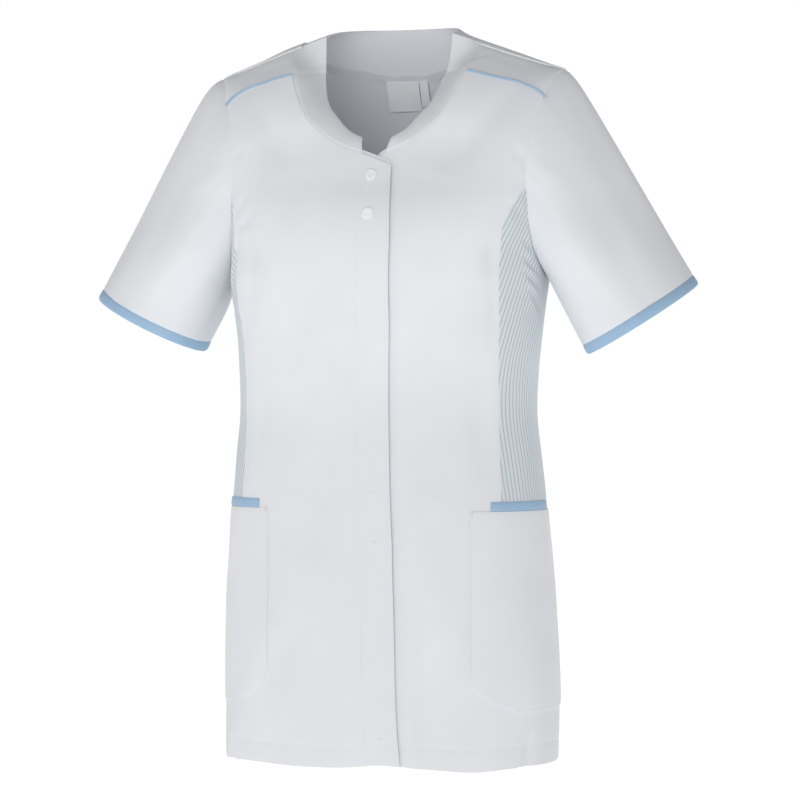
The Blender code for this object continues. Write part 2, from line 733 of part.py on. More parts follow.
def build_front_collar(name, side, collection):
    """The front of the stand collar, from the yoke to the notch at the centre front."""
    stops = [YOKE_INNER_X, *reversed(NECK_STOPS)]
    seam = [skin_at(stop * side, NECK_FRONT_HEIGHT(stop)) for stop in stops]
    steps = [0.0] + [(after - before).length for before, after in zip(seam[:-1], seam[1:])]
    alongs = np.cumsum(steps) / sum(steps)
    low_start = COLLAR_EDGE_FRONT[-1][0]
    lean = Vector((0.3 * side, -0.8, 0.5)).normalized()
    grid = []
    for top, low in reversed(YOKE_COLUMNS[:COLLAR_COLUMNS]):
        up = (YOKE_INNER_X - low) / (YOKE_INNER_X - low_start)
        border = yoke_point(side, top, low, 1.0)
        row = []
        for along, start in zip(alongs, seam):
            end = edge_point(COLLAR_EDGE_FRONT[::-1], along, side, NOTCH_SHIFT * along**2)
            ruled = start.lerp(end, up) + lean * math.sin(math.pi * up) * COLLAR_FULLNESS
            row.append((ruled, along))
        miss = border - row[0][0]
        row = [ruled + miss * smooth_step(1 - along / 0.4) for ruled, along in row]
        row[0] = row[0].lerp(row[1], 0.04)
        grid.append(row)
    grid[0] = moved_towards(grid[0], grid[1], COLLAR_SEAM_GAP)
    return shell(name, grid, collection, "white_cloth")


def build_back_collar(name, collection):
    """The back of the stand collar, from one shoulder seam round the neck to the other."""
    stops = [YOKE_INNER_X, *reversed(BACK_STOPS)]
    grid = []
    for top, low in reversed(YOKE_COLUMNS[:COLLAR_COLUMNS]):
        up = (YOKE_INNER_X - top) / (YOKE_INNER_X - NECK_SIDE_X)
        half = {}
        for side in (-1, 1):
            seam = [shoulder(stop * side, NECK_BACK_ROLL(stop)) for stop in stops]
            steps = [0.0] + [(after - before).length for before, after in zip(seam[:-1], seam[1:])]
            alongs = np.cumsum(steps) / sum(steps)
            border = yoke_point(side, top, low, 0.0)
            points = []
            for along, start in zip(alongs, seam):
                end = edge_point(COLLAR_EDGE_BACK, along, side)
                outward = Vector((end.x, end.y, 0.0)).normalized()
                points.append(start.lerp(end, up) + outward * math.sin(math.pi * up) * BACK_COLLAR_FULLNESS)
            miss = border - points[0]
            points = [point + miss * smooth_step(1 - along / 0.4) for point, along in zip(points, alongs)]
            points[0] = points[0].lerp(points[1], 0.05)
            half[side] = points
        grid.append(half[-1] + list(reversed(half[1]))[1:])
    grid[0] = moved_towards(grid[0], grid[1], COLLAR_SEAM_GAP)
    return shell(name, grid, collection, "white_cloth")


def sleeve_columns(side):
    """The lines down a sleeve, each as its turn, its start on the armhole and its end."""
    outer_x, outer_height, inner_x, inner_height, half_depth, _ = SLEEVES[side]
    loop = armhole_loop(side)
    outer = Vector((outer_x * side, SLEEVE_MIDDLE_Y, outer_height))
    inner = Vector((inner_x * side, SLEEVE_MIDDLE_Y, inner_height))
    front = Vector((0.0, -half_depth, -OPENING_FRONT_DROP))
    columns = []
    for index in range(SLEEVE_STATIONS):
        share = index / SLEEVE_STATIONS
        turn = 2 * math.pi * share
        gap = SLEEVE_SEAM_GAP * (1 + 0.7 * max(math.cos(turn), 0.0))
        start = Vector(loop(share)) + Vector((gap * side, 0.0, 0.0))
        end = (outer + inner) / 2 + (outer - inner) / 2 * math.cos(turn) + front * math.sin(turn)
        columns.append((turn, start, end))
    return columns


def sleeve_point(side, column, along):
    """A point of a sleeve. Along runs from 0 at the armhole to 1 at the opening."""
    turn, start, end = column
    top = max(math.cos(turn), 0.0) ** 1.5
    swell = SLEEVES[side][5] * top * (1 - along) * (1 - math.exp(-along / 0.05))
    lift = Vector((0.80 * side, 0.0, 0.60)) * swell
    sag = 0.006 * math.sin(math.pi * along) * (1 - abs(math.cos(turn)))
    fold = 0.002 * math.sin(3 * turn + 5.0 * along) * math.sin(math.pi * along) ** 2
    aside = Vector((0.0, -(sag + fold) * math.copysign(1.0, math.sin(turn)), 0.0))
    return start.lerp(end, along) + lift + aside


def build_sleeve(side, collection):
    """A sleeve and the binding of even width round its opening."""
    columns = sleeve_columns(side)
    outer_x, outer_height, inner_x, inner_height = SLEEVES[side][:4]
    name = "left" if side > 0 else "right"
    grid = []
    for stop in (0.0, 0.012, 0.05, *np.linspace(0.14, 0.987, SLEEVE_RINGS), 1.0):
        row = []
        for column in columns:
            length = (column[2] - column[1]).length
            row.append(sleeve_point(side, column, stop * (1 - (BINDING_HEIGHT + 2 * LAYER_GAP) / length)))
        grid.append(row)
    middle = Vector(((outer_x + inner_x) / 2 * side, 0.0, (outer_height + inner_height) / 2 + 0.06))
    shell("sleeve_" + name, grid, collection, "white_cloth", closed=True, middle=middle)
    band = []
    for height in (BINDING_HEIGHT, 0.0):
        ring = []
        for column in columns:
            length = (column[2] - column[1]).length
            ring.append(sleeve_point(side, column, 1 - height / length))
        centre = sum(ring, Vector()) / len(ring)
        band.append([point + (point - centre).normalized() * BINDING_PROUD for point in ring])
    middle = Vector(((outer_x + inner_x) / 2 * side, SLEEVE_MIDDLE_Y, (outer_height + inner_height) / 2))
    shell("sleeve_binding_" + name, band, collection, "blue_cloth", BINDING_THICKNESS, True, middle)


def build_piping(name, side, collection):
    """The piping along the seam under the yoke, a thin round cord on the skin."""
    curve = bpy.data.curves.new(name, "CURVE")
    curve.dimensions = "3D"
    curve.bevel_depth = PIPING_RADIUS
    curve.bevel_resolution = 1
    curve.use_fill_caps = True
    spline = curve.splines.new("POLY")
    spline.points.add(PIPING_POINTS - 1)
    out = PIPING_RADIUS + LAYER_GAP + 0.0001
    for index in range(PIPING_POINTS):
        share = index / (PIPING_POINTS - 1)
        across = YOKE_INNER_X + 0.001 + share * (YOKE_OUTER_X - YOKE_INNER_X - 0.0025)
        point = skin_at(across * side, YOKE_SEAM_HEIGHT(across), False, out)
        spline.points[index].co = (*point, 1.0)
    obj = bpy.data.objects.new(name, curve)
    collection.objects.link(obj)
    curve.materials.append(material_named("blue_cloth"))
    return obj


def pocket_foot(side, from_front):
    """The pocket's lower edge at a distance from its front edge, with a rounded corner."""
    if from_front >= POCKET_CORNER:
        return POCKET_FOOT[side]
    lean = 1 - from_front / POCKET_CORNER
    return POCKET_FOOT[side] + POCKET_CORNER_DROP * (1 - math.sqrt(max(1 - lean**2, 0.0)))


def build_pocket(side, collection):
    """A patch pocket round the hip, and the band along its mouth."""
    name = "left" if side > 0 else "right"
    out = POCKET_GAP + CLOTH
    columns = []
    for share in steps_between(0.0, 1.0, 22, 0.01):
        foot = pocket_foot(side, share * POCKET_WIDTH)
        column = []
        for height in np.linspace(foot, POCKET_TOP[side], 7):
            front = ring_angle(POCKET_FRONT_X, height, False)
            angle = front + share * (POCKET_BACK_ANGLE - front)
            column.append(skin(angle * side, height, out))
        columns.append(column)
    shell("pocket_" + name, list(zip(*columns)), collection, "white_cloth")
    rows = []
    for rise in (0.0, 1.0):
        row = []
        for share in steps_between(0.0, 1.0, 20, 0.01):
            height = POCKET_TOP[side] + LAYER_GAP + rise * BAND_HEIGHT
            front = ring_angle(BAND_FRONT_X[side], height, False)
            angle = front + share * (BAND_BACK_ANGLE - front)
            row.append(skin(angle * side, height, out))
        rows.append(row)
    shell("pocket_band_" + name, rows, collection, "blue_cloth")


def build_snap(name, height, collection):
    """A round snap cap on the overlap, standing square to the cloth."""
    mesh = bpy.data.meshes.new(name)
    work = bmesh.new()
    bmesh.ops.create_cone(
        work, cap_ends=True, segments=16, radius1=SNAP_RADIUS, radius2=SNAP_RADIUS, depth=SNAP_HEIGHT
    )
    work.to_mesh(mesh)
    work.free()
    obj = object_named(name, mesh, collection, "white_plastic")
    angle = ring_angle(SNAP_X, height, False)
    normal = skin_normal(angle, height)
    obj.rotation_mode = "QUATERNION"
    obj.rotation_quaternion = normal.to_track_quat("Z", "Y")
    obj.location = skin(angle, height, LAYER_GAP + SNAP_HEIGHT / 2 + 0.0001)
    edge = obj.modifiers.new("round edge", "BEVEL")
    edge.width = SNAP_HEIGHT * 0.45
    edge.segments = 1
    edge.limit_method = "ANGLE"
    return obj


def build_label(name, places, collection):
    """A blank label inside the back neck, hanging from the collar seam."""
    inside = -(CLOTH + LAYER_GAP)
    grid = []
    for height in np.linspace(LABEL_TOP - places["drop"], LABEL_TOP, 4):
        row = []
        for across in np.linspace(places["left"], places["right"], 4):
            row.append(skin_at(across, height, True, inside))
        grid.append(row)
    return shell(name, grid, collection, "label_cloth", LABEL_THICKNESS)


def main():
    for obj in list(bpy.data.objects):
        bpy.data.objects.remove(obj)
    collection = bpy.data.collections.new("work_tunic")
    bpy.context.scene.collection.children.link(collection)
    build_back("back", collection)
    build_back_collar("collar_back", collection)
    for side, name in ((1, "left"), (-1, "right")):
        build_front("front_" + name, side, collection)
        build_side("side_panel_" + name, side, collection)
        build_yoke("yoke_" + name, side, collection)
        build_front_collar("collar_front_" + name, side, collection)
        build_sleeve(side, collection)
        build_piping("piping_" + name, side, collection)
        build_pocket(side, collection)
    for name, height in zip(("snap_cap_upper", "snap_cap_lower"), SNAP_HEIGHTS):
        build_snap(name, height, collection)
    build_label("neck_label", NECK_LABEL, collection)
    build_label("size_label", SIZE_LABEL, collection)


main()
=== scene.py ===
"""The looks of the work tunic: cloth, piping, bindings, snaps, labels and stitching over its frame.

Metres, +Z up. The front faces -Y and the wearer's left is at +X. Every panel is a thin shell laid on
one skin, a stack of rings that rolls over at the shoulders, with its creases pressed into it.
"""

import logging
import math
from dataclasses import dataclass, field
from enum import Enum

import bmesh
import bpy
import numpy as np
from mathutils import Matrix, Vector


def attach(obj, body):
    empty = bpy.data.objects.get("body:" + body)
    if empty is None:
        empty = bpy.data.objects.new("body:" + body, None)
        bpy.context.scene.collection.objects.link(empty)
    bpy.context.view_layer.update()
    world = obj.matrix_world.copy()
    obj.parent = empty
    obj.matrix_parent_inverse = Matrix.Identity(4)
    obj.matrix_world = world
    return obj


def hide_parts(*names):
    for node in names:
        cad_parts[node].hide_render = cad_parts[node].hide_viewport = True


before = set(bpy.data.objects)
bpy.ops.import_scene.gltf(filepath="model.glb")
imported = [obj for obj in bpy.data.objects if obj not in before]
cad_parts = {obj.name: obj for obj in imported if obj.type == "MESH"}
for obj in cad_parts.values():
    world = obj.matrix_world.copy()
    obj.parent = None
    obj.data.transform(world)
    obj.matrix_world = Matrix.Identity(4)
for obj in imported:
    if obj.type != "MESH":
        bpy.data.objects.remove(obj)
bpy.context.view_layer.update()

Array = np.ndarray
Socket = bpy.types.NodeSocket
LOG = logging.getLogger("work_tunic")
MILLIMETRE = 0.001
GRID_STEP = 0.0033
GIRTH_PER_DEGREE = 0.0025
FOLD_WIDTH = 0.0012
STITCH_LIFT = 0.0001
ALLOWANCE_WALL = 0.0005
CORE_DROP = 0.05
FINE_READS = 800
# A band wave texture of scale 1 repeats each full turn over this number.
WAVE_FACTOR = 20


class Side(Enum):
    """The wearer's two sides, with the sign of X on each."""

    LEFT = 1
    RIGHT = -1

    @property
    def word(self) -> str:
        """The side's name as nodes and pieces spell it."""
        return self.name.lower()


class Curve:
    """A smooth curve through a table's rows, read at one place or at an array of places."""

    def __init__(self, stations: list, values: list) -> None:
        """Keep the rows and the slope at each of them.

        Args:
            stations: Where the rows stand, rising.
            values: One number or one point for each station.
        """
        self.stations = np.array(stations, float)
        self.values = np.array(values, float)
        self.slopes = np.gradient(self.values, self.stations, axis=0)

    def __call__(self, at: Array) -> Array:
        """Read the curve.

        Args:
            at: A place, or an array of places. Past the ends, the end value holds.

        Returns:
            The values there, with a point's axis last.
        """
        at = np.clip(np.asarray(at, float), self.stations[0], self.stations[-1])
        index = np.searchsorted(self.stations, at, side="right") - 1
        index = np.clip(index, 0, len(self.stations) - 2)
        span = self.stations[index + 1] - self.stations[index]
        t = (at - self.stations[index]) / span
        if self.values.ndim > 1:
            t = t[..., None]
            span = span[..., None]
        start = self.values[index] * (2 * t**3 - 3 * t**2 + 1)
        start = start + self.slopes[index] * span * (t**3 - 2 * t**2 + t)
        end = self.values[index + 1] * (3 * t**2 - 2 * t**3)
        return start + end + self.slopes[index + 1] * span * (t**3 - t**2)


def column_curve(rows: tuple, column: int) -> Curve:
    """One column of a table against its first column."""
    return Curve([row[0] for row in rows], [row[column] for row in rows])


def arc_lengths(points: Array) -> Array:
    """The distance of each point along a path from its first one."""
    return np.concatenate([[0.0], np.cumsum(np.linalg.norm(np.diff(points, axis=0), axis=1))])


def paces(points: Array) -> Array:
    """The share of a path's length at each point, from 0 to 1."""
    length = arc_lengths(points)
    return length / length[-1]


def path_curve(points: list) -> Curve:
    """A curve from 0 to 1 that runs along points at an even pace."""
    points = np.array(points, float)
    return Curve(paces(points), points)


def bell(distance: Array, width: float, power: int = 2) -> Array:
    """A bell from 1 at no distance, down to 1/e at the width. A higher power flattens its top."""
    return np.exp(-((distance / width) ** power))


def smooth_step(value: Array) -> Array:
    """A soft step from 0 to 1."""
    value = np.clip(value, 0.0, 1.0)
    return value * value * (3 - 2 * value)


def unit(vectors: Array) -> Array:
    """Vectors made one long."""
    return vectors / np.maximum(np.linalg.norm(vectors, axis=-1, keepdims=True), 1e-12)


def even_stops(points: Array, places: Array, step: float) -> Array:
    """Spread places evenly along a path.

    Args:
        points: The path, one point for each place.
        places: The value that names each point.
        step: The distance wanted between two stops.

    Returns:
        The values at the stops, both ends included.
    """
    length = arc_lengths(points)
    count = max(int(round(length[-1] / step)), 2)
    return np.interp(np.linspace(0.0, length[-1], count + 1), length, places)


@dataclass(frozen=True)
class Crease:
    """A soft trough, or a ridge where its depth is below 0, along a bowed line on the skin.

    The ends are a ring angle from the front in degrees and a height. Bow moves the middle aside. Lip is
    the share of the depth that stands up beside the trough, on the side that the bow is measured to.
    """

    start: tuple[float, float]
    end: tuple[float, float]
    half_width: float
    depth: float
    bow: float = 0.0
    lip: float = 0.0
    sharp: float = 0.8
    lip_distance: float = 1.7

    def push(self, girth: Array, height: Array) -> Array:
        """How far the crease presses each place in.

        Args:
            girth: The distance round from the centre front.
            height: The height.

        Returns:
            The depth at each place, below 0 where it stands out.
        """
        run = np.array([(self.end[0] - self.start[0]) * GIRTH_PER_DEGREE, self.end[1] - self.start[1]])
        length = math.hypot(*run)
        across = girth - self.start[0] * GIRTH_PER_DEGREE
        rise = height - self.start[1]
        along = (across * run[0] + rise * run[1]) / length**2
        inside = np.clip(along, 0.0, 1.0)
        aside = (across * run[1] - rise * run[0]) / length - self.bow * np.sin(math.pi * inside)
        taper = np.sin(math.pi * inside) ** self.sharp
        trough = bell(aside, self.half_width)
        beside = bell(aside - self.lip_distance * self.half_width, self.half_width)
        return self.depth * taper * (trough - self.lip * beside)


@dataclass
class Skin:
    """The garment's outer form, before the thickness of the cloth goes inwards from it."""

    ridge_y: float = 0.004
    neck_side_x: float = 0.068
    neck_side_height: float = 0.0190
    shoulder_slope: float = 0.37
    front_roll_drop: float = 0.100
    back_roll_drop: float = 0.110
    shoulder_x: float = 0.184
    # Columns: height, half width, front depth, back depth, squareness, middle's x.
    rings: tuple = (
        (-0.76, 0.175, 0.124, 0.115, 2.3, -0.0015),
        (-0.7, 0.176, 0.123, 0.116, 2.3, -0.0015),
        (-0.643, 0.175, 0.122, 0.116, 2.3, -0.0015),
        (-0.587, 0.1725, 0.119, 0.114, 2.3, -0.002),
        (-0.542, 0.1695, 0.116, 0.109, 2.3, -0.003),
        (-0.485, 0.1665, 0.112, 0.1, 2.3, -0.0045),
        (-0.428, 0.162, 0.108, 0.089, 2.25, -0.0048),
        (-0.378, 0.1575, 0.106, 0.083, 2.2, -0.005),
        (-0.332, 0.159, 0.109, 0.086, 2.2, -0.005),
        (-0.298, 0.1625, 0.114, 0.093, 2.2, -0.0045),
        (-0.262, 0.1665, 0.12, 0.101, 2.25, -0.004),
        (-0.238, 0.168, 0.123, 0.105, 2.35, -0.003),
        (-0.212, 0.169, 0.124, 0.108, 2.4, -0.0015),
        (-0.192, 0.1715, 0.1225, 0.11, 2.5, -0.0005),
        (-0.171, 0.1745, 0.118, 0.1105, 2.6, 0.0),
        (-0.141, 0.178, 0.1065, 0.108, 2.8, 0.0),
        (-0.106, 0.185, 0.095, 0.102, 2.9, 0.0),
        (-0.075, 0.188, 0.088, 0.095, 2.95, 0.0),
        (-0.04, 0.193, 0.08, 0.086, 3.0, -0.001),
        (0.0, 0.195, 0.075, 0.078, 3.0, -0.002),
        (0.06, 0.195, 0.07, 0.072, 3.0, -0.002),
    )
    # Creases. Columns: ring angle and height where one starts, then where it ends, half width, depth.
    # Two more, where needed: bow and lip.
    crease_rows: tuple = (
        (37.0, -0.045, 16.0, -0.135, 0.017, 0.004), (-35.0, -0.055, -20.0, -0.13, 0.016, 0.0022),
        (50.0, -0.17, 44.0, -0.245, 0.009, 0.0025), (-49.0, -0.165, -42.0, -0.235, 0.009, 0.0018),
        (-53.0, -0.3, -50.0, -0.46, 0.01, -0.0028), (46.0, -0.32, 43.0, -0.45, 0.012, 0.0022),
        (14.0, -0.54, 20.0, -0.8, 0.014, 0.003), (-30.0, -0.6, -34.0, -0.8, 0.017, 0.0026),
        (152.0, -0.23, 148.0, -0.52, 0.018, 0.004), (-151.0, -0.24, -147.0, -0.5, 0.018, 0.0036),
        (172.0, -0.33, 176.0, -0.47, 0.014, -0.0026), (138.0, -0.095, 157.0, -0.19, 0.015, 0.003),
        (-140.0, -0.09, -158.0, -0.18, 0.015, 0.0028), (165.0, -0.56, 161.0, -0.8, 0.02, 0.0034),
        (-160.0, -0.58, -156.0, -0.8, 0.018, 0.003),
        (-55.0, -0.176, -44.0, -0.154, 0.0045, 0.0012, 0.0, 0.5),
        (-56.0, -0.19, -43.0, -0.181, 0.0045, 0.001, 0.0, 0.5),
        (-52.0, -0.12, -44.0, -0.108, 0.005, 0.0008, 0.0, 0.4),
        (52.0, -0.125, 44.0, -0.112, 0.005, 0.0009, 0.0, 0.4),
        (58.0, -0.178, 46.0, -0.166, 0.005, 0.001, 0.0, 0.5),
        (-62.0, -0.715, -57.0, -0.76, 0.007, 0.003, 0.0, 0.4),
        (64.0, -0.705, 60.0, -0.76, 0.008, 0.0028, 0.0, 0.4),
        (30.0, -0.38, 26.0, -0.47, 0.018, 0.0012, 0.006),
        (-24.0, -0.26, -34.0, -0.42, 0.016, 0.0012, -0.008),
        (-12.0, -0.47, -16.0, -0.64, 0.012, -0.001), (36.0, -0.52, 33.0, -0.64, 0.014, 0.0012),
        (120.0, -0.2, 140.0, -0.24, 0.008, 0.0018, 0.0, 0.3),
        (-121.0, -0.205, -138.0, -0.25, 0.008, 0.0018, 0.0, 0.3),
        (176.0, -0.08, 168.0, -0.2, 0.016, 0.0016),
        (-170.0, -0.1, -176.0, -0.21, 0.016, -0.0014),
        (43.0, -0.195, 46.5, -0.24, 0.007, 0.0014, 0.003),
        (46.5, -0.238, 50.0, -0.32, 0.006, 0.0012, -0.003),
        (-43.0, -0.2, -48.0, -0.29, 0.007, 0.0012, 0.003),
        (61.0, -0.206, 72.0, -0.216, 0.0035, 0.0016, 0.0, 0.6),
        (63.0, -0.222, 76.0, -0.236, 0.0035, 0.002, 0.0, 0.6),
        (66.0, -0.238, 80.0, -0.254, 0.0035, 0.0022, 0.0, 0.7),
        (70.0, -0.254, 84.0, -0.276, 0.004, 0.002, 0.0, 0.6),
        (-55.0, -0.195, -64.0, -0.228, 0.004, 0.0018, 0.0, 0.5),
        (-60.0, -0.218, -72.0, -0.256, 0.004, 0.0022, 0.0, 0.6),
        (-68.0, -0.244, -84.0, -0.28, 0.0045, 0.002, 0.0, 0.5),
    )
    # Slow waves of the cloth. Columns: wavelengths across and up, phase, height of the wave.
    waves: tuple = (
        (0.21, 0.33, 0.4, 0.00045),
        (-0.13, 0.19, 1.9, 0.0004),
        (0.085, 0.24, 3.1, 0.00028),
        (-0.061, 0.11, 5.0, 0.00016),
        (0.047, -0.075, 2.2, 0.00012),
    )
    # How far to either side a slope is read, in ring degrees, height, roll degrees and across.
    slope_reach: tuple = (0.6, 0.0012, 0.5, 0.001)

    def __post_init__(self) -> None:
        """Turn the tables of rings and creases into curves and creases."""
        self.creases = [Crease(row[:2], row[2:4], *row[4:]) for row in self.crease_rows]
        self.width = column_curve(self.rings, 1)
        self.front = column_curve(self.rings, 2)
        self.back = column_curve(self.rings, 3)
        self.squareness = column_curve(self.rings, 4)
        self.middle = column_curve(self.rings, 5)

    def ridge_height(self, across: Array) -> Array:
        """The height of the shoulder's ridge at a distance from the middle."""
        return self.neck_side_height - self.shoulder_slope * (np.abs(across) - self.neck_side_x)

    def angle_at(self, across: Array, height: Array, at_back: bool) -> Array:
        """The ring angle from the front, in degrees, of a distance from the middle."""
        share = np.minimum(np.abs(across) / self.width(height), 1.0)
        angle = np.degrees(np.arcsin(share ** (self.squareness(height) / 2)))
        return np.copysign(180.0 - angle if at_back else angle, across)

    def across_at(self, angle: Array, height: Array) -> Array:
        """The distance from the middle at a ring angle, with the angle's sign."""
        sine = np.sin(np.radians(angle))
        return np.copysign(self.width(height) * np.abs(sine) ** (2 / self.squareness(height)), sine)

    def relief(self, angle: Array, height: Array) -> Array:
        """How far creases and slow waves press the skin in at a place.

        Args:
            angle: Ring angles from the front in degrees.
            height: Heights.

        Returns:
            The depth at each place.
        """
        girth = angle * GIRTH_PER_DEGREE
        total = np.zeros(np.broadcast(angle, height).shape)
        for crease in self.creases:
            total = total + crease.push(girth, height)
        for wide, high, phase, size in self.waves:
            total = total + size * np.sin(2 * math.pi * (girth / wide + height / high) + phase)
        return total

    def girth(self, angle: Array, height: float = -0.40) -> Array:
        """The distance round a ring from the centre front to ring angles, 0 to 180."""
        reads = np.linspace(0.0, 180.0, 721)
        return np.interp(angle, reads, arc_lengths(self.bare(reads, np.array(height))))

    def bare(self, angle: Array, height: Array) -> Array:
        """Points of the skin without creases at ring angles and heights.

        Args:
            angle: Ring angles from the front in degrees.
            height: Heights.

        Returns:
            The points.
        """
        angle, height = np.broadcast_arrays(np.asarray(angle, float), np.asarray(height, float))
        across = self.across_at(angle, height)
        cosine = np.cos(np.radians(angle))
        at_front = cosine > 0
        depth = np.where(at_front, self.front(height), self.back(height))
        y = -np.copysign(depth * np.abs(cosine) ** (2 / self.squareness(height)), cosine)
        drop = np.where(at_front, self.front_roll_drop, self.back_roll_drop)
        turn = np.clip((self.ridge_height(across) - height) / drop, 0.0, 1.0)
        y = self.ridge_y + (y - self.ridge_y) * np.sqrt(1 - (1 - turn) ** 2)
        return np.stack([across + self.middle(height), y, height], axis=-1)

    def normal(self, angle: Array, height: Array) -> Array:
        """The direction out of the skin.

        Args:
            angle: Ring angles from the front in degrees.
            height: Heights.

        Returns:
            A direction for each place.
        """
        reach, rise = self.slope_reach[:2]
        across = self.bare(angle + reach, height) - self.bare(angle - reach, height)
        up = self.bare(angle, height + rise) - self.bare(angle, height - rise)
        return unit(np.cross(across, up))

    def place(self, angle: Array, height: Array, out: Array = 0.0) -> Array:
        """Points of the creased skin, moved outwards.

        Args:
            angle: Ring angles from the front in degrees.
            height: Heights.
            out: How far out of the skin the points go.

        Returns:
            The points.
        """
        angle, height = np.broadcast_arrays(np.asarray(angle, float), np.asarray(height, float))
        push = out - self.relief(angle, height)
        return self.bare(angle, height) + self.normal(angle, height) * np.asarray(push)[..., None]

    def place_across(self, across: Array, height: Array, out: Array = 0.0) -> Array:
        """Points on the front of the creased skin at distances from the middle."""
        return self.place(self.angle_at(across, height, False), height, out)

    def over_shoulder(self, across: Array, roll: Array, out: Array = 0.0) -> Array:
        """Points over the shoulder, moved outwards.

        Args:
            across: Distances from the middle.
            roll: Degrees from the ridge, below 0 towards the front and above 0 towards the back.
            out: How far out of the skin the points go.

        Returns:
            The points.
        """
        across, roll = np.broadcast_arrays(np.asarray(across, float), np.asarray(roll, float))
        point = self._bare_shoulder(across, roll)
        turn, reach = self.slope_reach[2:]
        slope = self._bare_shoulder(across, roll + turn) - self._bare_shoulder(across, roll - turn)
        along = self._bare_shoulder(across + reach, roll) - self._bare_shoulder(across - reach, roll)
        normal = unit(np.cross(along, slope))
        normal = np.where(normal[..., 2:3] > 0, normal, -normal)
        return point + normal * np.broadcast_to(out, across.shape)[..., None]

    def _bare_shoulder(self, across: Array, roll: Array) -> Array:
        """Points over the shoulder on the bare skin, for the same arguments as over_shoulder."""
        at_back = roll > 0
        drop = np.where(at_back, self.back_roll_drop, self.front_roll_drop)
        height = self.ridge_height(across) - drop * (1 - np.cos(np.radians(roll)))
        share = np.minimum(np.abs(across) / self.width(height), 1.0)
        power = self.squareness(height)
        depth = np.where(at_back, self.back(height), self.front(height))
        ring_y = depth * (1 - share**power) ** (1 / power) * np.where(at_back, 1.0, -1.0)
        y = self.ridge_y + (ring_y - self.ridge_y) * np.sin(np.radians(np.abs(roll)))
        return np.stack([across + self.middle(height), y, height], axis=-1)

    def roll_at(self, across: Array, height: Array) -> Array:
        """The roll, below 0, of a height on the front of the shoulder."""
        turn = np.clip((self.ridge_height(across) - height) / self.front_roll_drop, 0.0, 1.0)
        return -np.degrees(np.arccos(1 - turn))


class Nodes:
    """The node tree of a new material or world, with short ways to add nodes and to join them."""

    def __init__(self, owner: bpy.types.ID, shader: str = "Principled BSDF") -> None:
        """Start the nodes of a material or a world, which come with one shader."""
        self.owner = owner
        owner.use_nodes = True
        self.tree = owner.node_tree
        self.shader = self.tree.nodes[shader]

    def feed(self, node: bpy.types.Node, inputs: dict) -> None:
        """Set a node's inputs to values, and link those that are given a socket.

        Args:
            node: The node.
            inputs: A value or a socket for each input, by its name or number.
        """
        for name, value in inputs.items():
            if isinstance(value, Socket):
                self.tree.links.new(value, node.inputs[name])
            else:
                node.inputs[name].default_value = value

    def add(self, kind: str, inputs: dict, **settings: str) -> bpy.types.Node:
        """Add a node.

        Args:
            kind: The node's type, without the words that all shader nodes begin with.
            inputs: A value or a socket for each input, by its name or number.
            settings: The node's own settings.

        Returns:
            The node.
        """
        node = self.tree.nodes.new("ShaderNode" + kind)
        for name, value in settings.items():
            setattr(node, name, value)
        self.feed(node, inputs)
        return node

    def noise(self, vector: Socket, scale: float, detail: float) -> Socket:
        """A noise texture read at a vector."""
        return self.add("TexNoise", {"Scale": scale, "Detail": detail, "Vector": vector}).outputs["Fac"]

    def mapped(self, vector: Socket, scale: tuple[float, float, float],
               turn: float = 0.0) -> Socket:
        """A vector scaled and turned."""
        inputs = {"Scale": scale, "Rotation": (0.0, 0.0, turn), "Vector": vector}
        return self.add("Mapping", inputs).outputs["Vector"]


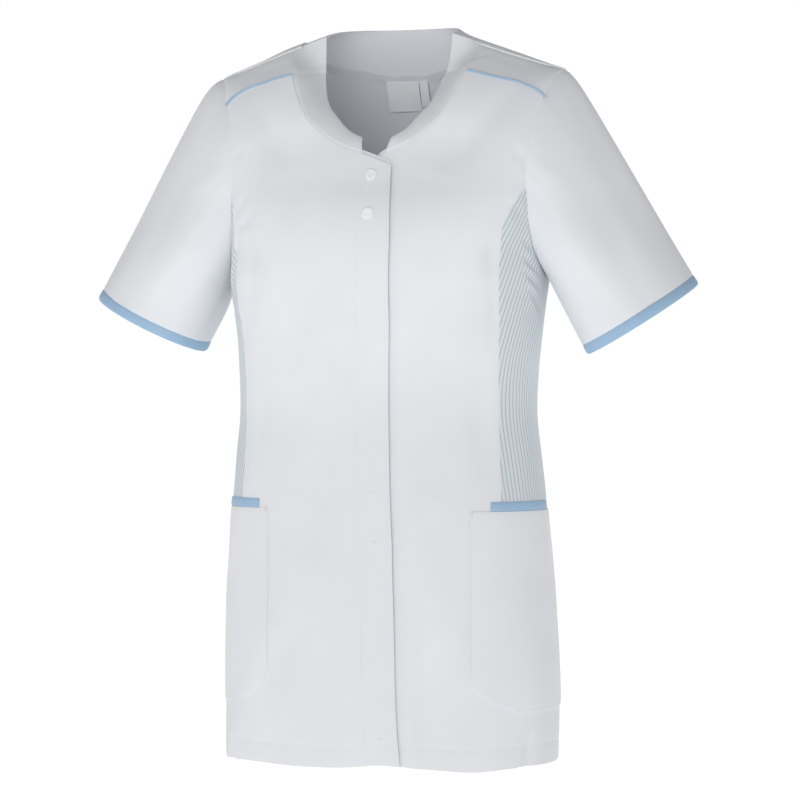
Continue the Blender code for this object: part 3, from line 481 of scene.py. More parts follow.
@dataclass(frozen=True)
class Weave:
    """A cloth finish: its colours, threads, stripes and sheen."""

    name: str
    colour: tuple[float, float, float]
    shade: tuple[float, float, float]
    thread: float = 0.0008
    relief: float = 0.25
    roughness: float = 0.82
    sheen: float = 0.12
    sheen_roughness: float = 0.5
    specular: float = 0.25
    cloud_scale: float = 14.0
    cloud_detail: float = 3.0
    slub_scale: tuple = (260.0, 2600.0, 1.0)
    slub_detail: float = 2.0
    slub_share: float = 0.35
    tones: tuple = (0.35, 0.95)
    twill_degrees: float = 28.0
    twill_share: float = 0.6
    twill_depth: float = 0.12 * MILLIMETRE
    stripe_pitch: float = 0.0
    stripe_width: float = 0.0013
    stripe_edge: tuple = (0.30, 0.70)
    stripe_colour: tuple = (0.43, 0.49, 0.545)

    def build(self) -> bpy.types.Material:
        """Make the material's nodes.

        Returns:
            The material, which reads the piece's own UV map, in metres.
        """
        nodes = Nodes(bpy.data.materials.new(self.name))
        uv = nodes.add("UVMap", {}, uv_map="cloth").outputs["UV"]
        place = nodes.add("TexCoord", {}).outputs["Object"]
        cloudy = nodes.noise(place, self.cloud_scale, self.cloud_detail)
        slub = nodes.noise(nodes.mapped(uv, self.slub_scale), 1.0, self.slub_detail)
        tone = nodes.add("Math", {0: slub, 1: self.slub_share, 2: cloudy}, operation="MULTIPLY_ADD")
        ramp = nodes.add("ValToRGB", {"Fac": tone.outputs[0]})
        for index, colour in enumerate((self.shade, self.colour)):
            ramp.color_ramp.elements[index].position = self.tones[index]
            ramp.color_ramp.elements[index].color = (*colour, 1.0)
        colour = ramp.outputs["Color"]
        if self.stripe_pitch > 0:
            colour = self._striped(nodes, uv, colour)
        nodes.feed(nodes.shader, {
            "Base Color": colour, "Roughness": self.roughness, "Sheen Weight": self.sheen,
            "Sheen Roughness": self.sheen_roughness, "Specular IOR Level": self.specular,
            "Normal": self._twill(nodes, uv, slub),
        })
        return nodes.owner

    def _striped(self, nodes: Nodes, uv: Socket,
                 ground: Socket) -> Socket:
        """Lay thin lines, a pitch apart, over the ground colour.

        Args:
            nodes: The material's nodes.
            uv: The place on the flat cloth.
            ground: The colour of the cloth.

        Returns:
            The colour with its stripes.
        """
        value = nodes.add("SeparateXYZ", {"Vector": uv}).outputs["X"]
        steps = (("DIVIDE", self.stripe_pitch), ("PINGPONG", 0.5), ("MULTIPLY", self.stripe_pitch))
        for operation, amount in steps:
            value = nodes.add("Math", {0: value, 1: amount}, operation=operation).outputs[0]
        start, end = (share * self.stripe_width for share in self.stripe_edge)
        edge = nodes.add("MapRange", {
            "Value": value, "From Min": start, "From Max": end, "To Min": 1.0, "To Max": 0.0,
        }, interpolation_type="SMOOTHSTEP")
        mix = nodes.add("Mix", {}, data_type="RGBA")
        sockets = {socket.identifier: socket for socket in (*mix.inputs, *mix.outputs)}
        sockets["B_Color"].default_value = (*self.stripe_colour, 1.0)
        nodes.tree.links.new(edge.outputs["Result"], sockets["Factor_Float"])
        nodes.tree.links.new(ground, sockets["A_Color"])
        return sockets["Result_Color"]

    def _twill(self, nodes: Nodes, uv: Socket,
               slub: Socket) -> Socket:
        """The normals of the twill's slanting ribs and its uneven threads.

        Args:
            nodes: The material's nodes.
            uv: The place on the flat cloth.
            slub: The unevenness of the threads.

        Returns:
            The normals.
        """
        slanted = nodes.mapped(uv, (1.0, 1.0, 1.0), math.radians(self.twill_degrees))
        pitch_scale = 2 * math.pi / WAVE_FACTOR / self.thread
        ribs = nodes.add("TexWave", {"Scale": pitch_scale, "Distortion": 0.0, "Vector": slanted},
                         wave_type="BANDS", bands_direction="X")
        height = nodes.add("Math", {0: ribs.outputs["Fac"], 1: self.twill_share, 2: slub},
                           operation="MULTIPLY_ADD")
        bump = nodes.add("Bump", {
            "Strength": self.relief, "Distance": self.twill_depth, "Height": height.outputs[0],
        })
        return bump.outputs["Normal"]


@dataclass(frozen=True)
class Moulding:
    """A smooth moulded plastic, or a thread as smooth, faintly uneven in gloss."""

    name: str
    colour: tuple[float, float, float]
    roughness: float = 0.45
    spread: tuple = (-0.05, 0.08)
    grain_scale: float = 400.0

    def build(self) -> bpy.types.Material:
        """Make the material's nodes.

        Returns:
            The material, which reads the object's own coordinates.
        """
        nodes = Nodes(bpy.data.materials.new(self.name))
        place = nodes.add("TexCoord", {}).outputs["Object"]
        grain = nodes.add("TexNoise", {"Scale": self.grain_scale, "Vector": place})
        low, high = (self.roughness + step for step in self.spread)
        gloss = nodes.add("MapRange", {"Value": grain.outputs["Fac"], "To Min": low, "To Max": high})
        colour = (*self.colour, 1.0)
        nodes.feed(nodes.shader, {"Base Color": colour, "Roughness": gloss.outputs["Result"]})
        return nodes.owner


class Finish(Enum):
    """The finishes of the garment, each with the record's slot that it stands for."""

    WHITE = ("white_cloth", Weave("white twill", (0.80, 0.815, 0.84), (0.76, 0.775, 0.80)))
    STRIPED = (
        "striped_cloth",
        Weave("striped twill", (0.70, 0.735, 0.765), (0.66, 0.70, 0.735), stripe_pitch=0.0047),
    )
    BLUE = ("blue_cloth", Weave("light blue twill", (0.38, 0.54, 0.71), (0.31, 0.47, 0.65), relief=0.4))
    LABEL = (
        "label_cloth",
        Weave("woven label", (0.95, 0.96, 0.98), (0.91, 0.92, 0.95), 0.0005, 0.2, 0.45, 0.3),
    )
    THREAD = ("white_cloth", Moulding("sewing thread", (0.84, 0.85, 0.87), 0.62))
    PLASTIC = ("white_plastic", Moulding("moulded snap", (0.86, 0.87, 0.88)))

    def __init__(self, slot: str, recipe: Weave | Moulding) -> None:
        """Keep the slot's name and the recipe, with no material made yet."""
        self.slot = slot
        self.recipe = recipe
        self.made = None

    def material(self) -> bpy.types.Material:
        """The finish's material, built once."""
        if self.made is None:
            self.made = self.recipe.build()
        return self.made


@dataclass(frozen=True)
class SewnEdge:
    """How a sewn edge presses the cloth in: a rounded lip, a stitched groove and small puckers."""

    lip_depth: float = 0.00022
    lip_width: float = 0.0016
    pucker_depth: float = 0.00012
    pucker_reach: float = 0.011
    pucker_length: float = 0.0042
    drift: tuple = (1.7, 0.031)
    swell: tuple = (0.45, 0.047)
    stitch_depth: float = 0.00035
    stitch_width: float = 0.0011

    def depth(self, distance: Array, along: Array, stitch: float, seed: float) -> Array:
        """How far the edge presses each point in.

        Args:
            distance: The distance of each point from the seam.
            along: The distance of each point along the seam.
            stitch: The distance of a topstitched line from the seam, or 0 for none.
            seed: A phase that makes the seam's puckers its own.

        Returns:
            The depth at each point.
        """
        drift, drift_length = self.drift
        swell, swell_length = self.swell
        pucker = np.sin(along / self.pucker_length + seed + drift * np.sin(along / drift_length + seed))
        pucker = pucker * (1 - swell + swell * np.sin(along / swell_length + 2 * seed))
        depth = self.lip_depth * bell(distance, self.lip_width)
        depth = depth + self.pucker_depth * bell(distance, self.pucker_reach) * pucker
        if stitch > 0:
            depth = depth + self.stitch_depth * bell(distance - stitch, self.stitch_width)
        return depth


SEWN_EDGE = SewnEdge()


@dataclass(frozen=True)
class Cut:
    """The flat size that a piece of cloth was cut to, of what shows."""

    width: float
    length: float
    area: float | None = None


@dataclass
class Piece:
    """One piece of cloth as a grid of points on its outside, from its lower edge to its upper one."""

    name: str
    points: Array
    finish: Finish
    cut: Cut | None = None
    wall: float = 0.0014
    closed: bool = False
    core: tuple[float, float, float] | None = None
    lean: Array | float = 0.0
    plain_below: float | None = None
    rests_on: tuple = ()
    edges: tuple = ("lower", "upper", "first", "last")

    def __post_init__(self) -> None:
        """Find the normals and the distances along the cloth."""
        self.normals = self._find_normals()
        shown = self.points
        if self.closed:
            shown = np.concatenate([shown, shown[:, :1]], axis=1)
        steps = np.linalg.norm(np.diff(shown, axis=1), axis=2)
        self.along = np.concatenate([np.zeros((len(shown), 1)), np.cumsum(steps, axis=1)], axis=1)
        rises = np.linalg.norm(np.diff(shown, axis=0), axis=2)
        self.up = np.concatenate([np.zeros((1, shown.shape[1])), np.cumsum(rises, axis=0)], axis=0)

    def _find_normals(self) -> Array:
        """The outward direction at each point.

        Returns:
            The directions, in the shape of the points.
        """
        if self.closed:
            across = np.roll(self.points, -1, axis=1) - np.roll(self.points, 1, axis=1)
        else:
            across = np.gradient(self.points, axis=1)
        normals = unit(np.cross(across, np.gradient(self.points, axis=0)))
        if self.core is None:
            core = self.points * (0.0, 0.0, 1.0) - (0.0, 0.0, CORE_DROP)
        else:
            core = np.array(self.core)
        self.turned = bool(np.sum(normals * (self.points - core)) < 0)
        return -normals if self.turned else normals

    def pressed(self, depth: Array) -> "Piece":
        """The same piece with its points pressed in along their normals.

        Args:
            depth: How far each point goes in, below 0 where it stands out.

        Returns:
            This piece, changed.
        """
        self.points = self.points - self.normals * depth[..., None]
        self.normals = self._find_normals()
        return self

    def edge_distances(self) -> tuple[Array, Array, Array, Array]:
        """Distances along the cloth from the lower, upper, first and last edges.

        Returns:
            Four arrays, one for each edge.
        """
        columns = self.points.shape[1]
        along = self.along[:, :columns]
        up = self.up[:, :columns]
        return up, self.up[-1:, :columns] - up, along, self.along[:, -1:] - along

    def line_inside(self, edge: str, distance: float) -> Array:
        """A line on the cloth at a distance from one edge: lower, upper, first or last.

        Args:
            edge: The name of the edge.
            distance: The distance from it.

        Returns:
            The points of the line.
        """
        away = dict(zip(self.edges, self.edge_distances()))[edge]
        lifted = self.points + self.normals * STITCH_LIFT
        if edge in ("first", "last"):
            away, lifted = away.T, lifted.transpose(1, 0, 2)
        if edge in ("upper", "last"):
            away, lifted = away[::-1], lifted[::-1]
        line = [
            [np.interp(distance, away[:, j], lifted[:, j, k]) for k in range(3)]
            for j in range(lifted.shape[1])
        ]
        return np.array(line)

    def sewn(self, **seams: tuple[float, float]) -> Array:
        """How far the piece's sewn edges press it in.

        Args:
            seams: For an edge by its name, the distance of its topstitching, 0 for none, and its phase.

        Returns:
            The depth at each point.
        """
        lower, upper, first, last = self.edge_distances()
        ways = zip(self.edges, ((lower, first), (upper, first), (first, lower), (last, lower)))
        return sum(SEWN_EDGE.depth(*way, *seams[edge]) for edge, way in ways if edge in seams)

    def allowance(self, edge: str, reach: float = 0.005, sink: float = 0.0004) -> "Piece":
        """The strip of seam allowance that lies inside, under one edge and past it.

        Args:
            edge: Which edge: lower, upper, first or last.
            reach: How far the strip goes to either side of the edge.
            sink: The gap under the cloth.

        Returns:
            The strip.
        """
        line = {
            "lower": (self.points[0], self.points[1], self.normals[0]),
            "upper": (self.points[-1], self.points[-2], self.normals[-1]),
            "first": (self.points[:, 0], self.points[:, 1], self.normals[:, 0]),
            "last": (self.points[:, -1], self.points[:, -2], self.normals[:, -1]),
        }
        border, inside, normals = line[edge]
        away = unit(border - inside)
        base = border - normals * (self.wall + sink)
        grid = np.stack([base - away * reach, base, base + away * reach])
        return Piece(self.name + "_" + edge, grid, self.finish, wall=ALLOWANCE_WALL, closed=self.closed,
                     core=self.core)

    def shell(self) -> tuple[Array, Array, Array]:
        """Close the piece into a shell.

        Returns:
            The vertices, the faces, and the place on the flat cloth of each corner of each face.
        """
        rows, columns = self.points.shape[:2]
        inner = self.points - self.normals * self.wall
        vertices = np.concatenate([self.points.reshape(-1, 3), inner.reshape(-1, 3)])
        wide = columns if self.closed else columns - 1
        i, j = (part.ravel() for part in np.meshgrid(np.arange(rows - 1), np.arange(wide), indexing="ij"))
        corners = [(i, j), (i, j + 1), (i + 1, j + 1), (i + 1, j)]
        k, row = np.arange(wide), np.arange(rows - 1)
        borders = [((0 * k, k), (0 * k, k + 1)), ((0 * k + rows - 1, k + 1), (0 * k + rows - 1, k))]
        if not self.closed:
            borders.append(((row + 1, 0 * row), (row, 0 * row)))
            borders.append(((row, 0 * row + columns - 1), (row + 1, 0 * row + columns - 1)))
        index = [a * columns + b % columns for a, b in corners]
        place = [a * self.along.shape[1] + b for a, b in corners]
        shift = rows * columns
        faces = [np.stack(index, 1), np.stack(index[::-1], 1) + shift]
        places = [np.stack(place, 1), np.stack(place[::-1], 1)]
        for start, end in borders:
            a, b = (part[0] * columns + part[1] % columns for part in (start, end))
            faces.append(np.stack([b, a, a + shift, b + shift], 1))
            a, b = (part[0] * self.along.shape[1] + part[1] for part in (start, end))
            places.append(np.stack([b, a, a, b], 1))
        faces, places = np.concatenate(faces), np.concatenate(places)
        if self.turned:
            faces, places = faces[:, ::-1], places[:, ::-1]
        middle = self.along[:, self.along.shape[1] // 2][:, None]
        across = (self.along - middle + self.lean).ravel()[places.ravel()]
        upwards = self.up.ravel()[places.ravel()]
        return vertices, faces, np.stack([across, upwards], 1)

    def build(self) -> bpy.types.Object:
        """Make the piece's object, hang it on the frame and hide the node that it stands for.

        Returns:
            The finished object.
        """
        obj = object_of_shells(self.name + "_cloth", [self.shell()], self.finish)
        if self.plain_below is not None:
            mesh = obj.data
            mesh.materials.append(Finish.WHITE.material())
            plain = [int(face.center.z < self.plain_below) for face in mesh.polygons]
            mesh.polygons.foreach_set("material_index", plain)
        dress(obj, (self.name,))
        LOG.info("%s: %d faces", self.name, len(obj.data.polygons))
        return obj


def new_object(name: str, data: bpy.types.ID) -> bpy.types.Object:
    """A new object of a mesh, a lamp or a camera, in the scene."""
    obj = bpy.data.objects.new(name, data)
    bpy.context.scene.collection.objects.link(obj)
    return obj


def object_of_shells(name: str, shells: list, finish: Finish) -> bpy.types.Object:
    """Make one object of one or more shells.

    Args:
        name: The object's name.
        shells: What Piece.shell gives, for each of them.
        finish: The finish of all of them.

    Returns:
        The object, with its UV map in metres.
    """
    counts = np.cumsum([0] + [len(vertices) for vertices, _, _ in shells[:-1]])
    vertices = np.concatenate([shell[0] for shell in shells])
    faces = np.concatenate([shell[1] + count for shell, count in zip(shells, counts)])
    flat = np.concatenate([shell[2] for shell in shells])
    mesh = bpy.data.meshes.new(name)
    mesh.from_pydata(vertices.tolist(), [], faces.tolist())
    layer = mesh.uv_layers.new(name="cloth")
    layer.data.foreach_set("uv", flat.astype(np.float32).ravel())
    mesh.shade_smooth()
    mesh.set_sharp_from_angle(angle=math.radians(55.0))
    mesh.materials.append(finish.material())
    return new_object(name, mesh)


def dress(obj: bpy.types.Object, nodes: tuple) -> None:
    """Hang a piece on the frame's root, and hide the frame's nodes that it stands for.

    Args:
        obj: The piece.
        nodes: The names of the nodes, or none.
    """
    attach(obj, "root")
    if nodes:
        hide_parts(*nodes)


@dataclass
class Body:
    """The fronts, the back and the side panels, and the seams between them."""

    skin: Skin
    hem_height: float = -0.739
    waist_height: float = -0.265
    hem_turn: float = 0.020
    half_seam: float = -0.00015
    lap: float = 0.0400
    lap_ramp: float = 0.016
    lap_sink: float = 0.0032
    left_neck_dip: float = 0.0045
    dip_from: float = 0.014
    dip_run: float = 0.012
    layer_gap: float = 0.0003
    fold_depth: float = 0.0008
    fold_lift: float = 0.0003
    groove_depth: float = 0.0002
    sewn_from: float = 0.012
    sewn_run: float = 0.010
    neck_gap_from: float = 0.010
    chest_length: float = 0.18
    hem_wave_reach: float = 0.08
    shortest_step: float = 0.0003
    corner_margin: float = 0.005
    side_columns: int = 48
    side_rows: int = 30
    # The back: columns past the neck, then rows on the chest, up to the roll, and over it.
    back_counts: tuple = (28, 32, 12, 46)
    neck_step: float = 0.0031
    neck_round: float = 0.03
    roll_radius: float = 0.08
    roll_blend: float = 25.0
    relief_from_roll: float = 20.0
    lap_over_from: float = 0.002
    lap_over_run: float = 0.012
    lap_over_height: float = 0.0004
    lap_over_width: float = 0.006
    swell_middle: float = 0.012
    swell_width: float = 0.007
    shoulder_inset: float = 0.0022
    placket_top: float = -0.125
    placket_zone: float = 0.0335
    seam_gap: float = -0.0001
    back_seam_top: float = -0.162
    back_seam_bend: float = -0.215
    stripes_end: float = -0.484
    # The armhole from the shoulder to the armpit. Columns: ring angle from the front, height.
    armhole_front: tuple = (
        (60.0, -0.045), (56.0, -0.06), (53.4, -0.077), (52.0, -0.098), (52.8, -0.121),
        (55.8, -0.144), (59.8, -0.168), (64.0, -0.191), (70.0, -0.212), (78.5, -0.229),
        (90.0, -0.238),
    )
    armhole_back: tuple = (
        (101.0, -0.229), (109.0, -0.211), (116.0, -0.188), (120.5, -0.162), (123.5, -0.134),
        (125.0, -0.106), (124.5, -0.079), (122.5, -0.06), (119.0, -0.045),
    )
    # Seams between a front and its side panel. Columns: height, distance from the middle.
    front_seam_left: tuple = (
        (-0.76, 0.149), (-0.7, 0.1485), (-0.6, 0.145), (-0.53, 0.14), (-0.471, 0.135),
        (-0.388, 0.1315), (-0.332, 0.1308), (-0.279, 0.1325), (-0.239, 0.1333), (-0.205, 0.135),
        (-0.1925, 0.1362), (-0.181, 0.1396), (-0.171, 0.1437), (-0.162, 0.149),
    )
    front_seam_right: tuple = (
        (-0.76, 0.144), (-0.6, 0.143), (-0.47, 0.1405), (-0.385, 0.1395), (-0.33, 0.14),
        (-0.294, 0.142), (-0.2625, 0.147), (-0.2305, 0.15), (-0.19, 0.152), (-0.168, 0.1535),
    )
    # The seam between the back and a side panel. Columns: height, ring angle from the front.
    back_seam: tuple = ((-0.760, 121.0), (-0.500, 122.0), (-0.380, 124.0), (-0.280, 124.0), (-0.200, 122.5))
    # The free edge of the overlap. Columns: height, distance past the centre front.
    lap_edge: tuple = (
        (-0.76, 0.0395), (-0.7, 0.034), (-0.66, 0.0322), (-0.6, 0.0306), (-0.56, 0.0295),
        (-0.51, 0.0292), (-0.46, 0.0272), (-0.42, 0.0259), (-0.37, 0.0249), (-0.33, 0.0256),
        (-0.29, 0.027), (-0.24, 0.0268), (-0.21, 0.0263), (-0.17, 0.024), (-0.11, 0.0213),
    )
    # The neck seam of the front. Columns: distance past centre, height.
    neck_front: tuple = (
        (-0.042, -0.137), (-0.0195, -0.128), (0.0, -0.1205), (0.014, -0.115), (0.0325, -0.108),
        (0.0485, -0.0985), (0.0625, -0.0865), (0.071, -0.077), (0.079, -0.0635), (0.0865, -0.046),
        (0.0925, -0.03),
    )
    # The seam under the yoke. Columns: distance from the middle, height.
    yoke_seam: tuple = (
        (0.0925, -0.03), (0.111, -0.034), (0.129, -0.0385), (0.144, -0.042), (0.155, -0.0465),
        (0.164, -0.052), (0.1705, -0.059),
    )
    # Where the back meets its collar. Columns: distance from the middle, roll back from the ridge.
    neck_back: tuple = (
        (0.0, 66.5), (0.012, 64.8), (0.025, 61.0), (0.039, 55.5), (0.056, 49.5), (0.072, 42.5),
        (0.0835, 32.0), (0.0885, 18.0), (0.0912, 0.0), (0.0925, -18.0),
    )
    # How far the back comes over the ridge. Columns: distance from the middle, roll.
    shoulder_seam: tuple = (
        (0.06, -18.0), (0.1, -18.0), (0.14, -16.0), (0.17, -10.0), (0.184, -3.0),
    )
    # Lean of the stripes. Columns: height, how far the stripes have moved towards the back.
    stripe_lean: tuple = (
        (-0.5, 0.01), (-0.44, 0.004), (-0.38, 0.0), (-0.33, 0.003), (-0.28, 0.014),
        (-0.22, 0.032), (-0.15, 0.056),
    )
    # Where the back swells behind the shoulder seam. Columns: x, half width, height.
    shoulder_swells: tuple = ((-0.108, 0.026, 0.0018), (0.105, 0.045, 0.0008))
    # How the hem rises and dips on the front. Columns: x, half width, rise.
    hem_waves: tuple = ((0.018, 0.030, 0.0038), (0.111, 0.030, -0.0030), (-0.130, 0.025, 0.0010))
    # Tacks across the fly. Columns: x, height.
    fly_tacks: tuple = ((0.0089, -0.4602), (0.0120, -0.5106), (0.0180, -0.6154), (0.0170, -0.7091))
    pieces: dict = field(default_factory=dict)

    def __post_init__(self) -> None:
        """Turn the tables into curves."""
        self.lap_x = column_curve(self.lap_edge, 1)
        self.neck_height = column_curve(self.neck_front, 1)
        self.yoke_height = column_curve(self.yoke_seam, 1)
        self.neck_roll = column_curve(self.neck_back, 1)
        self.shoulder_roll = column_curve(self.shoulder_seam, 1)
        self.back_angle = column_curve(self.back_seam, 1)
        self.stripe_shift = column_curve(self.stripe_lean, 1)
        self.front_seams = {
            Side.LEFT: column_curve(self.front_seam_left, 1),
            Side.RIGHT: column_curve(self.front_seam_right, 1),
        }
        rows = self.armhole_front[::-1]
        self.armhole_angle = {
            False: Curve([row[1] for row in rows], [row[0] for row in rows]),
            True: Curve([row[1] for row in self.armhole_back], [row[0] for row in self.armhole_back]),
        }
        self.inner_x = self.neck_front[-1][0]
        self.outer_x, outer_height = self.yoke_seam[-1]
        self.front_seam_top = self.waist_height + (outer_height - self.waist_height) * 5 / 9

    def hem_rise(self, x: Array) -> Array:
        """How far the front's hem lies over its even height."""
        return sum(rise * bell(x - middle, width) for middle, width, rise in self.hem_waves)

    def armhole_across(self, height: Array, at_back: bool) -> Array:
        """The armhole's distance from the middle at a height.

        Args:
            height: Heights.
            at_back: Whether the back's half of the armhole is read.

        Returns:
            The distances.
        """
        rows = self.armhole_back if at_back else self.armhole_front
        top_height = max(row[1] for row in rows)
        ridge = self.skin.ridge_height(self.skin.shoulder_x)
        low = self.skin.across_at(self.armhole_angle[at_back](height), np.minimum(height, top_height))
        left = np.clip((ridge - height) / (ridge - top_height), 0.0, 1.0)
        high = self.skin.shoulder_x + (low - self.skin.shoulder_x) * left
        return np.where(height <= top_height, low, high)

    def armhole_edge(self, side: Side, yoke: Piece, gap: float) -> tuple[Array, Array]:
        """An armhole as the panels and the yoke leave it: over the ridge, front, armpit, back.

        Args:
            side: The side of the wearer.
            yoke: The yoke of that side.
            gap: How far past the edges the line lies.

        Returns:
            The distance of each point along the line, and the points, closed.
        """
        word = side.word
        back, front = self.pieces["back"], self.pieces["front_" + word]
        panel = self.pieces["side_panel_" + word]
        edge, beside = (-1, -2) if side is Side.LEFT else (0, 1)
        back_line = np.stack([back.points[:, edge], back.points[:, beside]], axis=1)
        top = int(np.argmax(back_line[:, 0, 2]))
        seam = int(np.argmax(back_line[:, 0, 2] > self.back_seam_top - 1e-6))
        front_line = np.stack([front.points[:, -1], front.points[:, -2]], axis=1)[::-1]
        parts = (
            back_line[top:], np.stack([yoke.points[:, -1], yoke.points[:, -2]], axis=1),
            front_line[front_line[:, 0, 2] > self.front_seam_top + 0.001],
            np.stack([panel.points[-1], panel.points[-2]], axis=1), back_line[seam + 1 : top + 1],
        )
        lines = np.concatenate(parts)
        points = lines[:, 0] + unit(lines[:, 0] - lines[:, 1]) * gap
        steps = np.linalg.norm(np.diff(points, axis=0), axis=1)
        points = points[np.concatenate([[True], steps > self.shortest_step])]
        return arc_lengths(points), points

    def front_outer(self, side: Side, height: Array) -> Array:
        """Where a front ends at its outer side: the side panel's seam, then the armhole.

        Args:
            side: The side of the wearer.
            height: Heights.

        Returns:
            Distances from the middle.
        """
        seam = self.front_seams[side]
        last = seam.stations[-1]
        top = self.armhole_across(np.array(self.front_seam_top), False)
        share = np.clip((height - last) / (self.front_seam_top - last), 0.0, 1.0)
        low = seam(height) + (top - seam(last)) * share
        return np.where(height >= self.front_seam_top, self.armhole_across(height, False), low)

    def back_outer(self, height: Array) -> Array:
        """The back's half width at a height: the side panel's seam, then the armhole.

        Args:
            height: Heights.

        Returns:
            Distances from the middle.
        """
        top_angle = self.armhole_angle[True](self.back_seam_top)
        share = smooth_step((height - self.back_seam_bend) / (self.back_seam_top - self.back_seam_bend))
        angle = self.back_angle(height) + (top_angle - self.back_angle(height)) * share
        low = self.skin.across_at(angle, height)
        return np.where(height >= self.back_seam_top, self.armhole_across(height, True), low)

    def foot_heights(self) -> Array:
        """Heights from the hem to just below the waist height."""
        count = int((self.waist_height - self.hem_height) / GRID_STEP)
        return np.linspace(self.hem_height, self.waist_height, count)[:-1]

    def lap_inner(self, side: Side, height: Array) -> Array:
        """Where a front ends past the centre: the overlap's free edge, or the hidden edge below it."""
        return -self.lap_x(height) if side is Side.RIGHT else self.lap_x(height) - self.lap

    def neck_line(self, side: Side, across: Array) -> Array:
        """Heights of a front's neck seam. The corner of the left one, below the overlap, dips.

        Args:
            side: The side of the wearer.
            across: Distances from the middle.

        Returns:
            The heights.
        """
        height = self.neck_height(across)
        if side is Side.RIGHT:
            return height
        return height - self.left_neck_dip * smooth_step((self.dip_from - across) / self.dip_run)

    def lap_out(self, side: Side, across: Array, height: Array) -> Array:
        """How far out of the skin a front lies, below 0 where the left one goes under the overlap.

        Args:
            side: The side of the wearer.
            across: Distances from the middle.
            height: Heights.

        Returns:
            The distance at each place.
        """
        if side is Side.RIGHT:
            return np.zeros(across.shape)
        ramp = smooth_step((across - self.lap_x(height) - 2 * self.layer_gap) / self.lap_ramp)
        return -self.lap_sink * (1 - ramp)

    def build_front(self, side: Side) -> None:
        """Build a front, from the hem to the neck and the yoke.

        Args:
            side: The wearer's right front laps over the left one.
        """
        start = float(self.lap_inner(side, self.placket_top))
        zone = self.placket_zone
        if side is Side.LEFT:
            zone = float(self.lap_x(self.placket_top)) + 2 * self.layer_gap + self.lap_ramp - start
        neck = np.linspace(start, self.inner_x, 400)
        yoke = np.linspace(self.inner_x, self.outer_x, 200)
        neck_stops = even_stops(np.stack([neck, self.neck_height(neck)], 1), neck, GRID_STEP)
        yoke_stops = even_stops(np.stack([yoke, self.yoke_height(yoke)], 1), yoke, GRID_STEP)
        stops = np.concatenate([neck_stops, yoke_stops[1:]])
        on_neck = stops < self.inner_x
        tops = np.where(on_neck, self.neck_line(side, stops), self.yoke_height(stops))
        gaps = np.where(on_neck & (stops > self.neck_gap_from), self.seam_gap, self.half_seam)
        zone_top = self.lap_inner(side, tops) + zone
        shares = np.minimum((stops - zone_top) / (self.front_outer(side, tops) - zone_top), 1.0)
        foot = self.foot_heights()
        rise = np.linspace(0.0, 1.0, int(self.chest_length / GRID_STEP) + 1)[:, None]
        chest = self.waist_height + (tops - gaps - self.waist_height)[None, :] * rise
        heights = np.concatenate([np.repeat(foot[:, None], len(stops), axis=1), chest])
        left = self.lap_inner(side, heights) + zone
        right = self.front_outer(side, heights) - self.half_seam
        across = np.where(shares > 0, left + shares * (right - left), left + (stops - zone_top))
        near_hem = smooth_step(1 - (heights - foot[0]) / self.hem_wave_reach)
        heights = heights + self.hem_rise(across * side.value) * near_hem
        points = self.skin.place_across(across * side.value, heights, self.lap_out(side, across, heights))
        name = "front_" + side.word
        piece = Piece(name, points, Finish.WHITE, Cut(0.205, 0.712, 0.118))
        first = piece.edge_distances()[2]
        depth = piece.sewn(lower=(self.hem_turn, 0.3 * side.value), last=(0.0, 1.1 * side.value))
        neck_share = smooth_step((across - self.sewn_from) / self.sewn_run)
        depth = depth + piece.sewn(upper=(0.0, 2.3)) * neck_share
        if side is Side.RIGHT:
            depth = depth + self.fold_depth * bell(first, FOLD_WIDTH) - self.fold_lift
            depth = depth + self.groove_depth * bell(first - self.placket_zone, FOLD_WIDTH)
        self.pieces[name] = piece.pressed(depth)

    def build_side(self, side: Side) -> None:
        """Build a side panel, from the hem to the lower armhole.

        Args:
            side: The side of the wearer.
        """
        skin = self.skin
        front_angle = self.armhole_angle[False](self.front_seam_top)
        back_angle = self.armhole_angle[True](self.back_seam_top)
        rows = [(float(front_angle), self.front_seam_top)]
        rows += [row for row in self.armhole_front if row[1] < self.front_seam_top - self.corner_margin]
        rows += [row for row in self.armhole_back if row[1] < self.back_seam_top - self.corner_margin]
        rows += [(float(back_angle), self.back_seam_top)]
        top = path_curve([(angle * GIRTH_PER_DEGREE, height) for angle, height in rows])
        shares = np.linspace(0.0, 1.0, self.side_columns)
        top_angle = top(shares)[:, 0] / GIRTH_PER_DEGREE
        top_height = top(shares)[:, 1]

        def natural(height: Array) -> Array:
            """The ring angle that an even spread gives at a height.

            Args:
                height: Heights.

            Returns:
                The angles.
            """
            front_x = self.front_outer(side, np.minimum(height, self.front_seam_top)) + self.half_seam
            back_x = self.back_outer(np.minimum(height, self.back_seam_top)) + self.half_seam
            front = skin.angle_at(front_x, height, False)
            return front + shares * (skin.angle_at(back_x, height, True) - front)

        miss = top_angle - natural(top_height)
        foot = np.repeat(self.foot_heights()[:, None], len(shares), axis=1)
        rise = np.linspace(0.0, 1.0, self.side_rows)[:, None]
        chest = self.waist_height + (top_height - self.waist_height)[None, :] * rise
        heights = np.concatenate([foot, chest])
        climb = (heights - self.hem_height) / (top_height - self.hem_height)[None, :]
        inner = (shares > 0) & (shares < 1)
        angle = natural(heights) + miss * climb**8 * inner
        points = skin.place(angle * side.value, heights)
        name = "side_panel_" + side.word
        piece = Piece(name, points, Finish.STRIPED, Cut(0.150, 0.560, 0.077),
                      plain_below=self.stripes_end)
        depth = piece.sewn(lower=(self.hem_turn, 0.9), first=(0.0, 1.9), last=(0.0, 0.2), upper=(0.0, 1.4))
        piece.lean = skin.girth(angle) - piece.along + piece.along[:, [len(shares) // 2]]
        piece.lean = piece.lean - self.stripe_shift(heights)
        self.pieces[name] = piece.pressed(depth)

